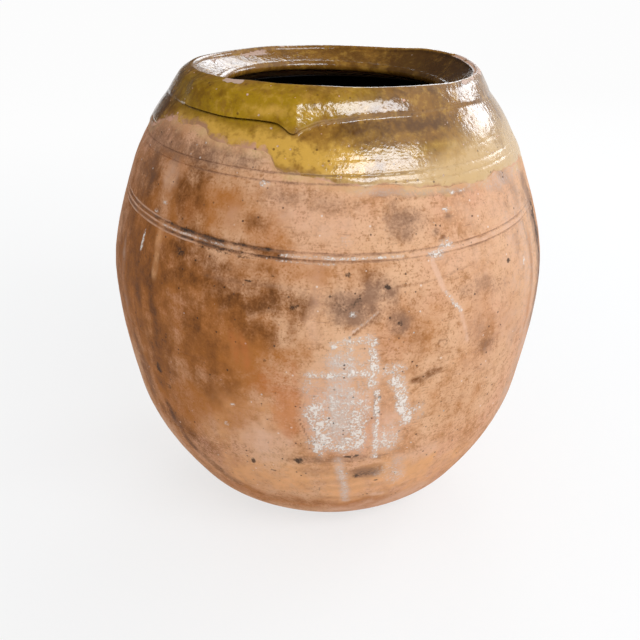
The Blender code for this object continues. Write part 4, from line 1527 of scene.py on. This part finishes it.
def chance_of(seed, low):
    """A random number from low to 1 for each grain."""
    ends = {2: low, 3: 1.0, "Seed": seed}
    return seed.node("FunctionNodeRandomValue", ends, 1, data_type="FLOAT")


density = wanted["Density"] * kept_value(host, "spread")
spread = {"Mesh": host, "Density": density, "Seed": seed}
points = host.node("GeometryNodeDistributePointsOnFaces", spread, distribute_method="RANDOM")
upright = Wire(scattered, points.socket.node.outputs["Rotation"])
ball = host.node("GeometryNodeMeshIcoSphere", {"Radius": 1.0, "Subdivisions": 1})
ball = host.node("GeometryNodeSetShadeSmooth", {"Geometry": ball})
chance = chance_of(seed, 0.0)
size = wanted["Small"] + (wanted["Large"] - wanted["Small"]) * chance * chance * chance
sizes = {0: size, 1: size * chance_of(seed + 1, 0.4), 2: size * wanted["Flat"]}
shape = host.node("ShaderNodeCombineXYZ", sizes)
laid = {"Points": points, "Instance": ball, "Rotation": upright, "Scale": shape}
end_tree(scattered, host.node("GeometryNodeInstanceOnPoints", laid), wanted["Material"])
print("scattered_grains has", len(scattered.nodes), "nodes")

# %% Scatter the grains
GRAIN_FACES = 20
BLISTERS = {"Density": 900, "Seed": 5, "Small": 0.0003, "Large": 0.0016, "Flat": 0.35}
FLECKS = {"Density": 9000, "Seed": 20, "Small": 0.0003, "Large": 0.0009, "Flat": 0.3}
GRIT = {"Density": 500, "Seed": 40, "Small": 0.0002, "Large": 0.0008, "Flat": 0.3}


def plain_finish(name, colour_name, roughness):
    """A short finish, with a trace of the clay's colour, for grains too small to show more."""
    material = bpy.data.materials.new(name)
    place = start_shader(material)
    tone = place.noise(300.0, 1.0).between(0.3, 0.7).mix(colour(colour_name), colour("rose"))
    end_shader(place, {"Base Color": tone, "Roughness": roughness}, place.noise(900.0, 1.0), 0.0001)
    return material


def scatter(name, host, spread, sizes, material, number=0):
    """Runs the tree on a copy of a piece's mesh, with the grains where spread is high."""
    keep_shade(host, "spread", spread)
    values = {**sizes, "Seed": sizes["Seed"] + number, "Material": material}
    pieces[name] = run_tree(name, host.data.copy(), scattered, values)
    print(name, len(pieces[name].data.polygons) // GRAIN_FACES, "grains")


blister = plain_finish("pale_blister", "bare", 0.3)
fleck = plain_finish("lime_fleck", "lime_and_glint", 0.9)
grit = plain_finish("burnt_grit", "dark_oil", 0.9)
HIDDEN_ROWS = 6
scatter("glaze_blisters", coat, outside * (rows_of_coat > HIDDEN_ROWS) * 1.0, BLISTERS, blister)
for number, name in enumerate(WALL_PIECES):
    host = pieces[name]
    skin_only = kept_shade(host, "skin") * (kept_shade(host, "margin") < 0.95)
    limed = skin_only * rise(kept_shade(host, "lime_and_glint"), 0.2, 0.7) + skin_only * 0.0012
    scatter("lime_flecks_" + name, host, limed, FLECKS, fleck, number)
    clusters = skin_only * (0.3 + 1.4 * rise(blot_of(host)[:, 1], 0.5, 0.68))
    scatter("grit_" + name, host, clusters, GRIT, grit, number)

# %% [markdown]
# ## Which piece stands for which CAD node
# Each main piece stands for one CAD node, whose mesh is hidden. Nothing on the jar moves, so all
# of it rides on the one body.

# %% Pieces and CAD nodes
STANDS_FOR = {
    "foot_slab": ("base_slab", "terracotta_foot"),
    "lower_course": ("lower_wall", "terracotta_body"),
    "belly_course": ("belly_wall", "terracotta_body"),
    "upper_course": ("upper_wall", "terracotta_body"),
    "shoulder_course": ("shoulder", "terracotta_body"),
    "folded_collar": ("rim_collar", "terracotta_body"),
    "mouth_glaze_coat": ("mouth_glaze", "amber_glaze"),
    "inner_glaze_coat": ("inner_glaze", "inner_glaze"),
}
for name, piece in pieces.items():
    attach(piece, "root")
    if name in STANDS_FOR:
        node, paint_slot = STANDS_FOR[name]
        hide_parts(node)
print(len(pieces), "pieces ride on root")

# %% [markdown]
# ## Light, floor and background
# The jar stood in a room with windows to the right and behind it. Soft boxes stand in for them,
# each named after the reflection that gives it away in the glaze. The floor is white to the camera
# and to mirrors, but a part of it stays plain so that the jar's shadow shows.

# %% Lamps
MIDDLE, LAMP_COLOUR = (0.0, 0.0, 0.28), (0.88, 0.94, 1.0)
# Each lamp: turn and climb in degrees, distance, width and height in metres, and watts.
LAMPS = (
    ("window_right_front", 33, 36.0, 2.0, (1.45, 0.46), 20.0),
    ("window_right", 122, 24, 2.0, (0.80, 0.48), 8.5),
    ("window_back_right", 167, 26, 2.2, (0.90, 0.90), 10.0),
)
for name, turn, climb, distance, size, watts in LAMPS:
    lamp = bpy.data.lights.new(name, "AREA")
    lamp.shape, lamp.energy, lamp.color = "RECTANGLE", watts, LAMP_COLOUR
    lamp.size, lamp.size_y = size
    stand = bpy.data.objects.new(name, lamp)
    turn, climb = math.radians(turn), math.radians(climb)
    away = (math.cos(climb) * math.sin(turn), -math.cos(climb) * math.cos(turn), math.sin(climb))
    stand.location = [m + distance * a for m, a in zip(MIDDLE, away)]
    stand.rotation_euler = (math.pi / 2 - climb, 0, turn)
    stand.visible_camera = False
    bpy.context.scene.collection.objects.link(stand)
print(len(LAMPS), "lamps,", sum(lamp[-1] for lamp in LAMPS), "W")

# %% Floor
FLOOR, FLOOR_REACH = -0.0002, 30
WHITE, PAPER = (1.0, 1.0, 1.0, 1.0), (0.9, 0.9, 0.9, 1.0)


def seen_direct(wire):
    """1 for rays that show the background: from the camera, off a mirror or through glass."""
    rays = wire.node("ShaderNodeLightPath").socket.node.outputs
    names = ("Is Camera Ray", "Is Glossy Ray", "Is Transmission Ray")
    camera_ray, glossy_ray, through_ray = [Wire(wire.tree, rays[name]) for name in names]
    return (camera_ray + glossy_ray + through_ray).least(1.0)


square = ((-1, -1), (1, -1), (1, 1), (-1, 1))
corners = [(x * FLOOR_REACH, y * FLOOR_REACH, FLOOR) for x, y in square]
floor_mesh = bpy.data.meshes.new("floor")
floor_mesh.from_pydata(corners, [], [(0, 1, 2, 3)])
floor = bpy.data.objects.new("floor", floor_mesh)
bpy.context.scene.collection.objects.link(floor)
paper = bpy.data.materials.new("white_paper")
floor_mesh.materials.append(paper)
place = start_shader(paper)
matt = place.node("ShaderNodeBsdfDiffuse", {"Color": PAPER})
bright = place.node("ShaderNodeEmission", {"Color": WHITE})
far = place.node("ShaderNodeVectorMath", {0: place}, 1, operation="LENGTH").between(0.3, 2.0)
share = seen_direct(place) * (0.7 + far * 0.25)
lead_out(place.node("ShaderNodeMixShader", {0: share, 1: matt, 2: bright}))
print("floor", 2 * FLOOR_REACH, "m wide")

# %% Room
# White to the camera. The glaze mirrors a dim room, bright to the right and most of all low down.
ROOM_LEVEL = 0.56
DAYLIGHT, DIM_WALLS = (0.9, 0.95, 1.0, 1.0), (0.05, 0.05, 0.05, 1.0)
world = bpy.data.worlds.new("room")
bpy.context.scene.world = world
world.use_nodes = True
world.node_tree.nodes.clear()
sky = Wire(world.node_tree).node("ShaderNodeTexCoord")
across, _, up = sky.axes()
dim = up.between(0.01, 0.22).most(0.95 - across.between(-0.1, 0.5) * 0.95)
dim = dim.least(1 - across.between(0.0, 0.6) * 0.7)
camera_ray = sky.node("ShaderNodeLightPath")
backdrop = camera_ray.mix(dim.mix(DAYLIGHT, DIM_WALLS), WHITE)
room = seen_direct(sky).mix((ROOM_LEVEL, ROOM_LEVEL, ROOM_LEVEL, 1.0), backdrop)
lead_out(sky.node("ShaderNodeBackground", {"Color": room}), "ShaderNodeOutputWorld")
print("room lights the jar at a level of", ROOM_LEVEL)

# %% [markdown]
# ## Bring the scene up to date
# A finish must not change the size of a thing. The last step brings the view layer up to date.

bpy.context.view_layer.update()
